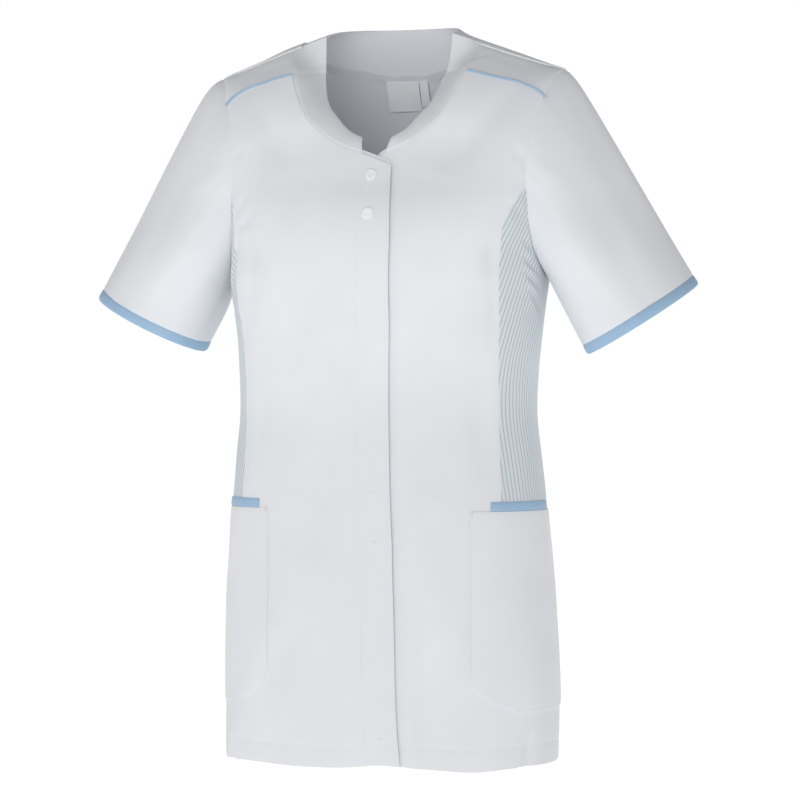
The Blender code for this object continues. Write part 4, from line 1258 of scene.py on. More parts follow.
    def build_back(self) -> None:
        """Build the back, from the hem over the ridge of the shoulders to the seam on the front."""
        skin = self.skin
        outer_count, chest_count, upper_count, roll_count = self.back_counts
        reads = np.linspace(0.0, self.inner_x, FINE_READS)
        line = np.stack([reads, np.radians(self.neck_roll(reads)) * self.neck_round], 1)
        neck = even_stops(line, reads, self.neck_step)
        outer = np.linspace(self.inner_x, skin.shoulder_x, outer_count + 1)[1:]
        half = np.concatenate([neck, outer])
        stops = np.concatenate([-half[:0:-1], half])
        share = stops / skin.shoulder_x
        top_across = np.abs(stops)
        on_neck = top_across < self.inner_x
        gaps = np.where(on_neck, self.seam_gap, self.half_seam)
        end_roll = np.where(on_neck, self.neck_roll(top_across), self.shoulder_roll(top_across))
        end_roll = end_roll + np.degrees(gaps / self.roll_radius)
        roll_start = skin.ridge_height(top_across) - skin.back_roll_drop
        foot = np.repeat(self.foot_heights()[:, None], len(stops), axis=1)
        chest = np.linspace(self.waist_height, self.back_seam_top, chest_count)[:, None] + 0 * stops
        between = np.linspace(0.0, 1.0, upper_count + 2)[1:-1, None]
        upper = self.back_seam_top + (roll_start - self.back_seam_top) * between
        heights = np.concatenate([foot, chest, upper])
        across = share * (self.back_outer(heights) - self.half_seam)
        low = skin.place(skin.angle_at(across, heights, True), heights)
        rolls = 90.0 + (end_roll - 90.0)[None, :] * np.linspace(0.0, 1.0, roll_count)[:, None]
        drop = np.where(rolls > 0, skin.back_roll_drop, skin.front_roll_drop)
        roll_height = skin.ridge_height(top_across) - drop * (1 - np.cos(np.radians(rolls)))
        roll_outer = np.where(rolls > 0, self.armhole_across(roll_height, True), skin.shoulder_x)
        above = smooth_step((rolls - end_roll) / self.roll_blend)
        roll_outer = np.where(on_neck, skin.shoulder_x + (roll_outer - skin.shoulder_x) * above, roll_outer)
        roll_across = share * (roll_outer - self.half_seam)
        fade = smooth_step((rolls - self.relief_from_roll) / self.roll_blend)
        relief = skin.relief(skin.angle_at(roll_across, roll_height, True), roll_height) * fade
        over = skin.over_shoulder(roll_across, rolls, -relief)
        points = np.concatenate([low, over])
        piece = Piece("back", points, Finish.WHITE, Cut(0.430, 0.790, 0.250))
        top = piece.edge_distances()[1]
        lifted = smooth_step((top_across - self.inner_x - self.lap_over_from) / self.lap_over_run)
        lapped = -self.lap_over_height * lifted * bell(top, self.lap_over_width, 4)
        for middle, half_width, height in self.shoulder_swells:
            spread = bell(stops - middle, half_width)
            lapped = lapped - height * spread * bell(top - self.swell_middle, self.swell_width)
        depth = piece.sewn(lower=(self.hem_turn, 2.9), first=(0.0, 0.6), last=(0.0, 2.1), upper=(0.0, 0.8))
        self.pieces["back"] = piece.pressed(depth + lapped)

    def build(self) -> None:
        """Build every panel of the body."""
        for side in Side:
            self.build_front(side)
            self.build_side(side)
        self.build_back()
        for piece in self.pieces.values():
            piece.build()


@dataclass
class Neck:
    """The yokes, the stand collar that is grown on to them, the piping and the labels."""

    body: Body
    collar_gap: float = -0.0003
    blend_x: float = 0.112
    notch_shift: float = 0.0036
    notch_x: dict = field(default_factory=lambda: {Side.LEFT: 0.0140, Side.RIGHT: 0.0085})
    yoke_flatness: float = 0.8
    fullness: float = 0.0016
    back_fullness: float = 0.002
    border_reach: float = 0.4
    flat_run: float = 0.03
    yoke_rows: int = 30
    yoke_down: tuple = (0.004, 0.997)
    # Where the yoke is stitched to the back: distance from the seam, and the phase of its puckers.
    shoulder_stitch: tuple = (0.0015, 1.5)
    # The yoke's slow wave: its depth, its lengths along and up, and where it is and how far it reaches.
    yoke_wave: tuple = (0.0003, 0.012, 0.02, 0.02, 0.02)
    front_step: float = 0.0030
    back_step: float = 0.0032
    front_lean: tuple = (0.3, -0.8, 0.5)
    front_end_gap: float = 0.0004
    back_end_gap: float = 0.0006
    wall: float = 0.0014
    piping_radius: float = 0.0011
    # Lines down a yoke. Columns: distance from the middle on the shoulder seam, then on the seam below.
    columns: tuple = (
        (0.068, 0.0627), (0.076, 0.073), (0.085, 0.083), (0.0925, 0.0925), (0.105, 0.105),
        (0.125, 0.122), (0.145, 0.139), (0.165, 0.156), (0.18, 0.168), (0.184, 0.1705),
    )
    # The free top edge of the collar, from the notch. Columns: x, y, height.
    edge_front: tuple = (
        (0.015, -0.088, -0.0985), (0.0278, -0.0835, -0.0915), (0.0402, -0.076, -0.0785),
        (0.0532, -0.0632, -0.0615), (0.059, -0.0515, -0.047), (0.0627, -0.04, -0.0335),
    )
    edge_yoke: tuple = (
        (0.0627, -0.04, -0.0335), (0.0652, -0.0325, -0.017), (0.0672, -0.0255, -0.0005),
        (0.068, -0.0199, 0.0141),
    )
    edge_back: tuple = (
        (0.068, -0.0199, 0.0141), (0.0683, -0.002, 0.0187), (0.067, 0.016, 0.0228),
        (0.061, 0.036, 0.0265), (0.048, 0.053, 0.0288), (0.026, 0.065, 0.0298),
        (0.0, 0.069, 0.03),
    )
    lapped_under: float = 0.0010
    least_under: float = 0.35
    under_run: float = 0.012
    under_width: float = 0.0045
    edge_depth: float = 0.0005
    # The groove along the collar's seam: depth, width, where it begins and how it comes in.
    seam_groove: tuple = (0.0007, 0.0013, 0.012, 0.03)
    # The ridge beside it: height, distance from the seam, width.
    seam_ridge: tuple = (0.0003, 0.0035, 0.002)
    fold_depth: float = 0.0006
    label_hem: tuple = (0.0002, 0.0015, 0.0008)
    label_wall: float = 0.0007
    label_sink: float = 0.0023
    label_bulge: float = 0.0012
    label_twist: float = 0.0010
    twist_length: float = 0.009
    piping_lift: float = 0.0002
    piping_gaps: tuple = (0.0005, 0.0008)
    piping_rings: int = 60
    piping_cloth: tuple = (0.00058, 0.0015)
    piping_segments: int = 12
    piping_taper: float = 0.55
    # Creases on the yokes. Columns: x and height at one end, then at the other, half width, depth.
    yoke_creases: dict = field(default_factory=lambda: {
        Side.LEFT: (
            (0.06, -0.029, 0.078, -0.027, 0.0022, 0.0007),
            (0.077, -0.028, 0.09, -0.016, 0.0022, 0.0008),
            (0.088, -0.017, 0.109, -0.009, 0.0024, 0.0006),
            (0.064, -0.019, 0.072, 0.004, 0.003, -0.0006),
            (0.115, -0.012, 0.148, -0.025, 0.004, 0.0004),
        ),
        Side.RIGHT: (
            (0.065, -0.025, 0.093, -0.028, 0.0022, 0.0006),
            (0.066, -0.014, 0.089, -0.022, 0.003, 0.0005),
            (0.07, 0.006, 0.076, -0.01, 0.0026, -0.0006),
            (0.1, -0.015, 0.135, -0.023, 0.0045, 0.0005),
            (0.15, -0.019, 0.165, -0.042, 0.004, 0.0005),
        ),
    })
    label_top: float = -0.0235
    narrowest_cut: float = 0.010
    # Labels by node. Columns: left edge, right edge, drop.
    labels: tuple = (("neck_label", -0.024, 0.012, 0.031), ("size_label", 0.0130, 0.0225, 0.026))
    pieces: dict = field(default_factory=dict)

    def edge(self, rows: tuple, along: Array, side: Side) -> Array:
        """Points of the collar's free edge."""
        return path_curve(rows)(along) * np.array([side.value, 1.0, 1.0])

    def yoke_point(self, side: Side, top: Array, low: Array, down: Array) -> Array:
        """Points of a yoke.

        Args:
            side: The side of the wearer.
            top: Distances from the middle on the shoulder seam.
            low: Distances from the middle on the seam below.
            down: 0 on the shoulder seam and 1 on the seam below.

        Returns:
            The points.
        """
        skin, body, sign = self.body.skin, self.body, side.value
        low_start, low_height = self.edge_front[-1][0], self.edge_front[-1][2]
        across = top + (low - top) * smooth_step(down)
        height = body.yoke_height(np.maximum(low, body.inner_x))
        reach = np.clip((body.inner_x - low) / (body.inner_x - low_start), 0.0, None)
        height = height + (low_height - height) * reach
        top_roll = body.shoulder_roll(top)
        low_roll = skin.roll_at(low, height)
        on_skin = skin.over_shoulder(across * sign, top_roll + (low_roll - top_roll) * down)
        start = skin.over_shoulder(top * sign, top_roll)
        straight = start + (skin.over_shoulder(low * sign, low_roll) - start) * np.asarray(down)[..., None]
        flatness = self.yoke_flatness * smooth_step((body.outer_x - low) / self.flat_run)
        on_skin = on_skin + (straight - on_skin) * flatness[..., None]
        blend_x = self.blend_x + (body.inner_x - self.blend_x) * smooth_step(down)
        near = smooth_step((blend_x - low) / (blend_x - low_start))
        first = skin.neck_side_x + (low_start - skin.neck_side_x) * smooth_step(down)
        first_roll = body.shoulder_roll(skin.neck_side_x)
        first_roll = first_roll + (skin.roll_at(low_start, low_height) - first_roll) * down
        miss = self.edge(self.edge_yoke[::-1], down, side) - skin.over_shoulder(first * sign, first_roll)
        return on_skin + miss * near[..., None]

    def column_reads(self, count: int, collar_only: bool) -> tuple[Array, Array]:
        """Fine columns of a yoke or of its collar, as distances on its upper and lower seams.

        Args:
            count: How many columns.
            collar_only: Whether they end where the collar does.

        Returns:
            The distances from the middle on the upper seam, then on the lower one.
        """
        rows = self.columns[:4] if collar_only else self.columns
        at = np.linspace(0.0, 1.0, len(rows))
        fine = np.linspace(0.0, 1.0, count)
        tops = np.interp(fine, at, [row[0] for row in rows])
        lows = np.interp(fine, at, [row[1] for row in rows])
        return tops, lows

    def build_yoke(self, side: Side) -> None:
        """Build a yoke on the front of the shoulder.

        Args:
            side: The side of the wearer.
        """
        tops, lows = self.column_reads(44, False)
        down = np.linspace(*self.yoke_down, self.yoke_rows)[:, None]
        grid = self.yoke_point(side, tops[None, :] + 0 * down, lows[None, :] + 0 * down, down)
        grid[:, -1] = grid[:, -1] * 0.9 + grid[:, -2] * 0.1
        name = "yoke_" + side.word
        piece = Piece(name, grid, Finish.WHITE, Cut(0.125, 0.062, 0.0060), self.wall)
        lower, _, first, _ = piece.edge_distances()
        least = self.least_under
        under = least + (1 - least) * smooth_step((tops - self.body.inner_x) / self.under_run)
        depth = self.lapped_under * under * bell(lower, self.under_width)
        depth = depth + self.edge_depth * bell(first, FOLD_WIDTH)
        depth = depth + piece.sewn(upper=self.shoulder_stitch, last=(0.0, 0.1))
        depth = depth + self.crease_depth(side, grid)
        wave_depth, wave_along, wave_up, middle, reach = self.yoke_wave
        wave = np.sin(first / wave_along + 2.0 * np.sin(lower / wave_up)) * bell(first - middle, reach)
        self.pieces[name] = piece.pressed(depth + wave_depth * wave)

    def crease_depth(self, side: Side, points: Array) -> Array:
        """How far the creases on a yoke press it in at its points.

        Args:
            side: The side of the wearer.
            points: The yoke's points.

        Returns:
            The depth at each point.
        """
        total = np.zeros(points.shape[:2])
        for start_x, start_z, end_x, end_z, half_width, depth in self.yoke_creases[side]:
            start = np.array([start_x * side.value, start_z])
            run = np.array([end_x * side.value, end_z]) - start
            reach = points[..., [0, 2]] - start
            along = (reach @ run) / (run @ run)
            aside = (reach[..., 0] * run[1] - reach[..., 1] * run[0]) / math.hypot(*run)
            taper = bell(along - 0.5, 0.55, 4)
            total = total + depth * taper * bell(aside, half_width)
        return total

    def build_front_collar(self, side: Side) -> None:
        """Build the front of the stand collar, from the yoke to the notch at the centre front.

        Args:
            side: The side of the wearer.
        """
        body, skin, sign = self.body, self.body.skin, side.value
        reads = np.linspace(body.inner_x, self.notch_x[side], 400)
        line = skin.place_across(reads * sign, body.neck_height(reads))
        stops = even_stops(line, reads, self.front_step)
        heights = body.neck_line(side, stops)
        seam = skin.place_across(stops * sign, heights, body.lap_out(side, stops, heights))
        along = paces(seam)
        low_start = self.edge_front[-1][0]
        tops, lows = self.column_reads(13, True)
        lean = unit(np.array(self.front_lean) * (sign, 1.0, 1.0))
        end = self.edge(self.edge_front[::-1], along, side)
        end[:, 0] += self.notch_shift * along**2
        rows = []
        for top, low in zip(tops[::-1], lows[::-1]):
            up = (body.inner_x - low) / (body.inner_x - low_start)
            ruled = seam + (end - seam) * up + lean * math.sin(math.pi * up) * self.fullness
            border = self.yoke_point(side, np.array(top), np.array(low), np.array(1.0))
            row = ruled + (border - ruled[0]) * smooth_step(1 - along / self.border_reach)[:, None]
            row[0] = row[0] + unit(row[1] - row[0]) * self.front_end_gap
            rows.append(row)
        grid = np.array(rows)
        grid[0] = grid[0] + unit(grid[1] - grid[0]) * self.collar_gap
        name = "collar_front_" + side.word
        piece = Piece(name, grid, Finish.WHITE, Cut(0.130, 0.033, 0.0039), self.wall)
        lower, upper, first, last = piece.edge_distances()
        depth = piece.sewn(lower=(0.0, 0.5)) + 0.5 * piece.sewn(first=(0.0, 0.4))
        groove_depth, groove_width, groove_from, groove_run = self.seam_groove
        groove = groove_depth * bell(lower, groove_width) * smooth_step((first - groove_from) / groove_run)
        ridge_height, ridge_from, ridge_width = self.seam_ridge
        depth = depth + groove - ridge_height * bell(lower - ridge_from, ridge_width)
        depth = depth + self.fold_depth * (bell(upper, FOLD_WIDTH) + bell(last, FOLD_WIDTH))
        self.pieces[name] = piece.pressed(depth)

    def build_back_collar(self) -> None:
        """Build the back of the stand collar, from one shoulder seam round the neck to the other."""
        body, skin = self.body, self.body.skin
        tops, lows = self.column_reads(13, True)
        reads = np.linspace(body.inner_x, 0.0, FINE_READS)
        rows = []
        for top, low in zip(tops[::-1], lows[::-1]):
            up = (body.inner_x - top) / (body.inner_x - skin.neck_side_x)
            halves = {}
            for side in Side:
                line = skin.over_shoulder(reads * side.value, body.neck_roll(reads))
                stops = even_stops(line, reads, self.back_step)
                seam = skin.over_shoulder(stops * side.value, body.neck_roll(stops))
                along = paces(seam)
                end = self.edge(self.edge_back, along, side)
                outward = unit(end * np.array([1.0, 1.0, 0.0]))
                points = seam + (end - seam) * up + outward * math.sin(math.pi * up) * self.back_fullness
                border = self.yoke_point(side, np.array(top), np.array(low), np.array(0.0))
                points = points + (border - points[0]) * smooth_step(1 - along / self.border_reach)[:, None]
                points[0] = points[0] + unit(points[1] - points[0]) * self.back_end_gap
                halves[side] = points
            rows.append(np.concatenate([halves[Side.RIGHT], halves[Side.LEFT][::-1][1:]]))
        grid = np.array(rows)
        grid[0] = grid[0] + unit(grid[1] - grid[0]) * self.collar_gap
        name = "collar_back"
        piece = Piece(name, grid, Finish.WHITE, Cut(0.290, 0.043, 0.0118), self.wall)
        depth = piece.sewn(lower=(0.0, 0.5), first=(0.0, 0.4), last=(0.0, 0.9))
        depth = depth + self.fold_depth * bell(piece.edge_distances()[1], FOLD_WIDTH)
        self.pieces[name] = piece.pressed(depth)

    def build_label(self, name: str, left: float, right: float, drop: float) -> None:
        """Build a blank woven label inside the back neck, with folded ends.

        Args:
            name: The label's node.
            left: Its left edge.
            right: Its right edge.
            drop: Its height.
        """
        skin = self.body.skin
        heights = np.linspace(self.label_top - drop, self.label_top, 24)[:, None]
        across = np.linspace(left, right, 24)[None, :]
        hang = (self.label_top - heights) / drop
        bulge = self.label_bulge * np.sin(math.pi * hang)
        bulge = bulge + self.label_twist * hang**2 * np.sin((across - left) / self.twist_length)
        angle = skin.angle_at(across + 0 * heights, heights + 0 * across, True)
        points = skin.place(angle, heights + 0 * across, -(self.label_sink + bulge))
        cut = Cut(right - left, drop) if right - left > self.narrowest_cut else None
        piece = Piece(name, points, Finish.LABEL, cut, self.label_wall)
        lower, upper, _, _ = piece.edge_distances()
        hem_depth, hem, hem_width = self.label_hem
        folded = bell(lower - hem, hem_width) + bell(upper - hem, hem_width)
        self.pieces[name] = piece.pressed(hem_depth * folded)

    def build_piping(self, side: Side) -> None:
        """Build the piping in the seam under the yoke as a round cord with a twist of weave.

        Args:
            side: The side of the wearer.
        """
        body, skin = self.body, self.body.skin
        inner_gap, outer_gap = self.piping_gaps
        out = self.piping_radius + self.piping_lift
        across = np.linspace(body.inner_x + inner_gap, body.outer_x - outer_gap, self.piping_rings)
        line = skin.place_across(across * side.value, body.yoke_height(across), out)
        tangent = unit(np.gradient(line, axis=0))
        heights = body.yoke_height(across)
        normal = skin.normal(skin.angle_at(across * side.value, heights, False), heights)
        aside = unit(np.cross(tangent, normal))
        turns = np.linspace(0.0, 2 * math.pi, self.piping_segments + 1)[:-1]
        taper = np.ones(len(line))
        taper[0] = taper[-1] = self.piping_taper
        ring = np.cos(turns)[None, :, None] * normal[:, None] + np.sin(turns)[None, :, None] * aside[:, None]
        points = line[:, None] + ring * (self.piping_radius * taper)[:, None, None]
        mesh = bpy.data.meshes.new("piping_" + side.word)
        work = bmesh.new()
        rows = [[work.verts.new(point) for point in row] for row in points.tolist()]
        layer = work.loops.layers.uv.new("cloth")
        for i in range(len(rows) - 1):
            for j in range(len(turns)):
                k = (j + 1) % len(turns)
                face = work.faces.new((rows[i][j], rows[i][k], rows[i + 1][k], rows[i + 1][j]))
                for loop, (a, b) in zip(face.loops, ((i, j), (i, j + 1), (i + 1, j + 1), (i + 1, j))):
                    loop[layer].uv = (b * self.piping_cloth[0], a * self.piping_cloth[1])
        for row in (rows[0], rows[-1]):
            work.faces.new(row)
        bmesh.ops.recalc_face_normals(work, faces=work.faces)
        work.to_mesh(mesh)
        work.free()
        mesh.shade_smooth()
        mesh.materials.append(Finish.BLUE.material())
        dress(new_object("piping_" + side.word + "_cord", mesh), ("piping_" + side.word,))
        LOG.info("piping_%s", side.word)

    def build(self) -> None:
        """Build the yokes, the collar, the labels and the piping."""
        for side in Side:
            self.build_yoke(side)
            self.build_front_collar(side)
            self.build_piping(side)
        self.build_back_collar()
        for name, left, right, drop in self.labels:
            self.build_label(name, left, right, drop)
        for piece in self.pieces.values():
            piece.build()


@dataclass
class Sleeve:
    """A short sleeve and the blue binding round its opening."""

    body: Body
    yoke: Piece
    side: Side
    outer: tuple[float, float]
    inner: tuple[float, float]
    half_depth: float
    cap_rise: float
    front_drop: float
    middle_y: float = 0.004
    seam_gap: float = -0.0004
    stations: int = 128
    rings: int = 60
    binding_height: float = 0.011
    binding_wall: float = 0.0022
    binding_proud: float = 0.0004
    binding_gap: float = 0.0003
    binding_rings: int = 7
    # The binding's rounded edges, its stitched groove and its puckers: depth or height, then places.
    binding_edge: tuple = (0.0009, 0.0011)
    binding_groove: tuple = (0.0003, 0.0018, 0.0009)
    binding_pucker: tuple = (0.0001, 0.0032)
    cap_lean: tuple = (0.8, 0.0, 0.6)
    cap_start: float = 0.05
    side_sag: float = 0.006
    side_fold: tuple = (0.002, 5.0)
    core_rise: float = 0.06
    # Creases. Columns: turn in degrees, share along, half width, length, slant, depth.
    creases: tuple = (
        (150.0, 0.3, 13.0, 0.26, -60.0, 0.0026), (118.0, 0.42, 11.0, 0.3, -50.0, 0.0016),
        (100.0, 0.12, 7.0, 0.1, -80.0, 0.001), (78.0, 0.16, 6.0, 0.12, -60.0, -0.0008),
        (62.0, 0.72, 16.0, 0.34, 20.0, 0.002), (28.0, 0.55, 12.0, 0.4, 10.0, 0.0012),
        (210.0, 0.32, 13.0, 0.24, 60.0, 0.0026), (245.0, 0.45, 12.0, 0.32, 45.0, 0.0018),
        (262.0, 0.14, 7.0, 0.11, 70.0, 0.001), (300.0, 0.66, 16.0, 0.36, -20.0, 0.002),
        (182.0, 0.42, 9.0, 0.3, 0.0, 0.0022), (334.0, 0.5, 12.0, 0.34, -12.0, 0.0012),
    )
    pieces: dict = field(default_factory=dict)

    def lines(self) -> tuple[Array, Array]:
        """Find the lines down the sleeve.

        Returns:
            Their starts on the armhole, and their ends at the opening.
        """
        sign = self.side.value
        length, edge = self.body.armhole_edge(self.side, self.yoke, self.seam_gap)
        share = np.arange(self.stations) / self.stations
        start = np.stack([np.interp(share * length[-1], length, edge[:, k]) for k in range(3)], axis=-1)
        start = (np.roll(start, 1, axis=0) + 2 * start + np.roll(start, -1, axis=0)) / 4
        turn = 2 * math.pi * share[:, None]
        outer = np.array([self.outer[0] * sign, self.middle_y, self.outer[1]])
        inner = np.array([self.inner[0] * sign, self.middle_y, self.inner[1]])
        front = np.array([0.0, -self.half_depth, -self.front_drop])
        end = (outer + inner) / 2 + np.cos(turn) * (outer - inner) / 2 + np.sin(turn) * front
        return start, end

    def grid(self, along: Array) -> Array:
        """Points of the sleeve.

        Args:
            along: Shares from 0 at the armhole to 1 at the opening, a row for each ring.

        Returns:
            The points.
        """
        start, end = self.lines()
        turn = 2 * math.pi * np.arange(self.stations)[None, :] / self.stations
        top = np.maximum(np.cos(turn), 0.0) ** 1.5
        swell = self.cap_rise * top * (1 - along) * (1 - np.exp(-along / self.cap_start))
        lift = swell[..., None] * np.array(self.cap_lean) * (self.side.value, 1.0, 1.0)
        sag = self.side_sag * np.sin(math.pi * along) * (1 - np.abs(np.cos(turn)))
        fold_depth, fold_turn = self.side_fold
        fold = fold_depth * np.sin(3 * turn + fold_turn * along) * np.sin(math.pi * along) ** 2
        aside = (sag + fold) * np.copysign(1.0, np.sin(turn))
        shift = np.stack([0 * aside, -aside, 0 * aside], axis=-1)
        return start[None] + (end - start)[None] * along[..., None] + lift + shift

    def crease_depth(self, along: Array) -> Array:
        """How far the sleeve's creases press it in, on the grid of a set of rings.

        Args:
            along: Shares from 0 at the armhole to 1 at the opening, a row for each ring.

        Returns:
            The depth at each point.
        """
        turn = 360.0 * np.arange(self.stations)[None, :] / self.stations
        total = np.zeros(along.shape)
        for middle, share, half_width, length, slant, depth in self.creases:
            away = (turn - middle - slant * (along - share) + 180.0) % 360.0 - 180.0
            run = (along - share) / length
            total = total + depth * bell(away, half_width) * bell(run, 1.0)
        return total

    def build(self) -> None:
        """Build the sleeve and its binding."""
        start, end = self.lines()
        length = np.linalg.norm(end - start, axis=1)[None, :]
        last = 1 - (self.binding_height + self.binding_gap) / length
        along = np.linspace(0.0, 1.0, self.rings)[:, None] * last
        sign = self.side.value
        middle_x = (self.outer[0] + self.inner[0]) / 2 * sign
        middle_z = (self.outer[1] + self.inner[1]) / 2
        name = "sleeve_" + self.side.word
        piece = Piece(name, self.grid(along), Finish.WHITE, Cut(0.420, 0.230, 0.068),
                      closed=True, core=(middle_x, 0.0, middle_z + self.core_rise))
        depth = piece.sewn(lower=(0.0, 0.7), upper=(0.0, 1.7)) + self.crease_depth(along)
        self.pieces[name] = piece.pressed(depth)
        name = "sleeve_binding_" + self.side.word
        back = np.linspace(1.0, 0.0, self.binding_rings)[:, None]
        rows = self.grid(1 - self.binding_height / length * back)
        bound = Piece(name, rows, Finish.BLUE, Cut(0.380, 0.0130), self.binding_wall, True,
                      (middle_x, self.middle_y, middle_z))
        lower, upper, first, _ = bound.edge_distances()
        edge = np.minimum(lower, upper)
        edge_depth, edge_width = self.binding_edge
        groove_depth, groove_from, groove_width = self.binding_groove
        pucker_depth, pucker_length = self.binding_pucker
        depth = -self.binding_proud + edge_depth * bell(edge, edge_width)
        depth = depth + groove_depth * bell(lower - groove_from, groove_width)
        self.pieces[name] = bound.pressed(depth + pucker_depth * np.sin(first / pucker_length))
        for one in self.pieces.values():
            one.build()


@dataclass
class Pocket:
    """A patch pocket round the hip and the band along its mouth."""

    skin: Skin
    side: Side
    top: float
    foot: float
    band_front_x: float
    gap: float = 0.0003
    cloth: float = 0.0010
    front_x: float = 0.106
    back_angle: float = 114.0
    width: float = 0.165
    corner: float = 0.070
    corner_drop: float = 0.040
    inset: float = 0.0022
    fullness: float = 0.0014
    band_height: float = 0.0095
    band_back_angle: float = 90.0
    pieces: dict = field(default_factory=dict)

    def build(self) -> None:
        """Build the pocket and its band."""
        shares = np.linspace(0.0, 1.0, 54)
        from_front = shares * self.width
        lean = np.clip(1 - from_front / self.corner, 0.0, 1.0)
        feet = self.foot + self.corner_drop * (1 - np.sqrt(np.maximum(1 - lean**2, 0.0)))
        heights = feet[None, :] + (self.top - feet)[None, :] * np.linspace(0.0, 1.0, 62)[:, None]
        front = self.skin.angle_at(self.front_x, heights, False)
        angle = front + shares * (self.back_angle - front)
        out = self.gap + self.cloth
        rise = (heights - self.foot) / (self.top - self.foot)
        full = self.fullness * np.sin(math.pi * shares) * np.sin(math.pi * np.clip(rise, 0, 1)) ** 0.7
        points = self.skin.place(angle * self.side.value, heights, out + full)
        name = "pocket_" + self.side.word
        piece = Piece(name, points, Finish.WHITE, Cut(0.172, 0.202, 0.0320), self.cloth,
                      rests_on=("front_" + self.side.word, "side_panel_" + self.side.word))
        seams = {"lower": (self.inset, 0.4), "first": (self.inset, 1.3), "last": (self.inset, 2.3)}
        self.pieces[name] = piece.pressed(piece.sewn(**seams, upper=(0.0, 0.9)))
        shares = np.linspace(0.0, 1.0, 50)[None, :]
        rise = np.linspace(0.0, 1.0, 7)[:, None]
        heights = self.top + 0.0003 + rise * self.band_height + 0 * shares
        front = self.skin.angle_at(self.band_front_x, heights, False)
        angle = front + shares * (self.band_back_angle - front)
        name = "pocket_band_" + self.side.word
        points = self.skin.place(angle * self.side.value, heights, out + 0.0002)
        band = Piece(name, points, Finish.BLUE, Cut(0.092, 0.0115), self.cloth,
                     rests_on=("front_" + self.side.word, "side_panel_" + self.side.word))
        lower, upper, first, _ = band.edge_distances()
        edge = np.minimum(lower, upper)
        depth = 0.0007 * bell(edge, 0.0011) + 0.00008 * np.sin(first / 0.0031)
        self.pieces[name] = band.pressed(depth)
        for one in self.pieces.values():
            one.build()


@dataclass
class Snaps:
    """The two round snap caps at the top of the overlap."""

    skin: Skin
    heights: tuple = (("snap_cap_upper", -0.1385), ("snap_cap_lower", -0.1785))
    across: float = 0.002
    segments: int = 48
    # The turned profile. Columns: distance from the middle, height over the cloth, in millimetres.
    profile: tuple = (
        (0.0, 0.78), (2.0, 0.79), (3.4, 0.82), (4.4, 0.87), (5.1, 0.86), (5.6, 0.78), (6.0, 0.6),
        (6.25, 0.34), (6.3, 0.05), (5.9, 0.0), (0.0, 0.0),
    )

    def build(self) -> None:
        """Build both caps, square to the cloth."""
        for name, height in self.heights:
            spot = (self.skin.angle_at(np.array(self.across), np.array(height), False), np.array(height))
            normal = Vector(self.skin.normal(*spot).tolist())
            turn = normal.to_track_quat("Z", "Y")
            base = Vector(self.skin.place(*spot, 0.0004).tolist())
            work = bmesh.new()
            rows = []
            for radius, rise in self.profile:
                count = 1 if radius == 0.0 else self.segments
                row = []
                for step in range(count):
                    angle = 2 * math.pi * step / count
                    x, y = radius * math.cos(angle), radius * math.sin(angle)
                    offset = turn @ (Vector((x, y, rise)) * MILLIMETRE)
                    row.append(work.verts.new(base + offset))
                rows.append(row)
            for before, after in zip(rows[:-1], rows[1:]):
                for step in range(self.segments):
                    loop = [before[step % len(before)], before[(step + 1) % len(before)],
                            after[(step + 1) % len(after)], after[step % len(after)]]
                    work.faces.new(list(dict.fromkeys(loop)))
            bmesh.ops.recalc_face_normals(work, faces=work.faces)
            mesh = bpy.data.meshes.new(name)
            work.to_mesh(mesh)
            work.free()
            mesh.shade_smooth()
            mesh.materials.append(Finish.PLASTIC.material())
            dress(new_object(name + "_moulded", mesh), (name,))
            LOG.info("%s", name)


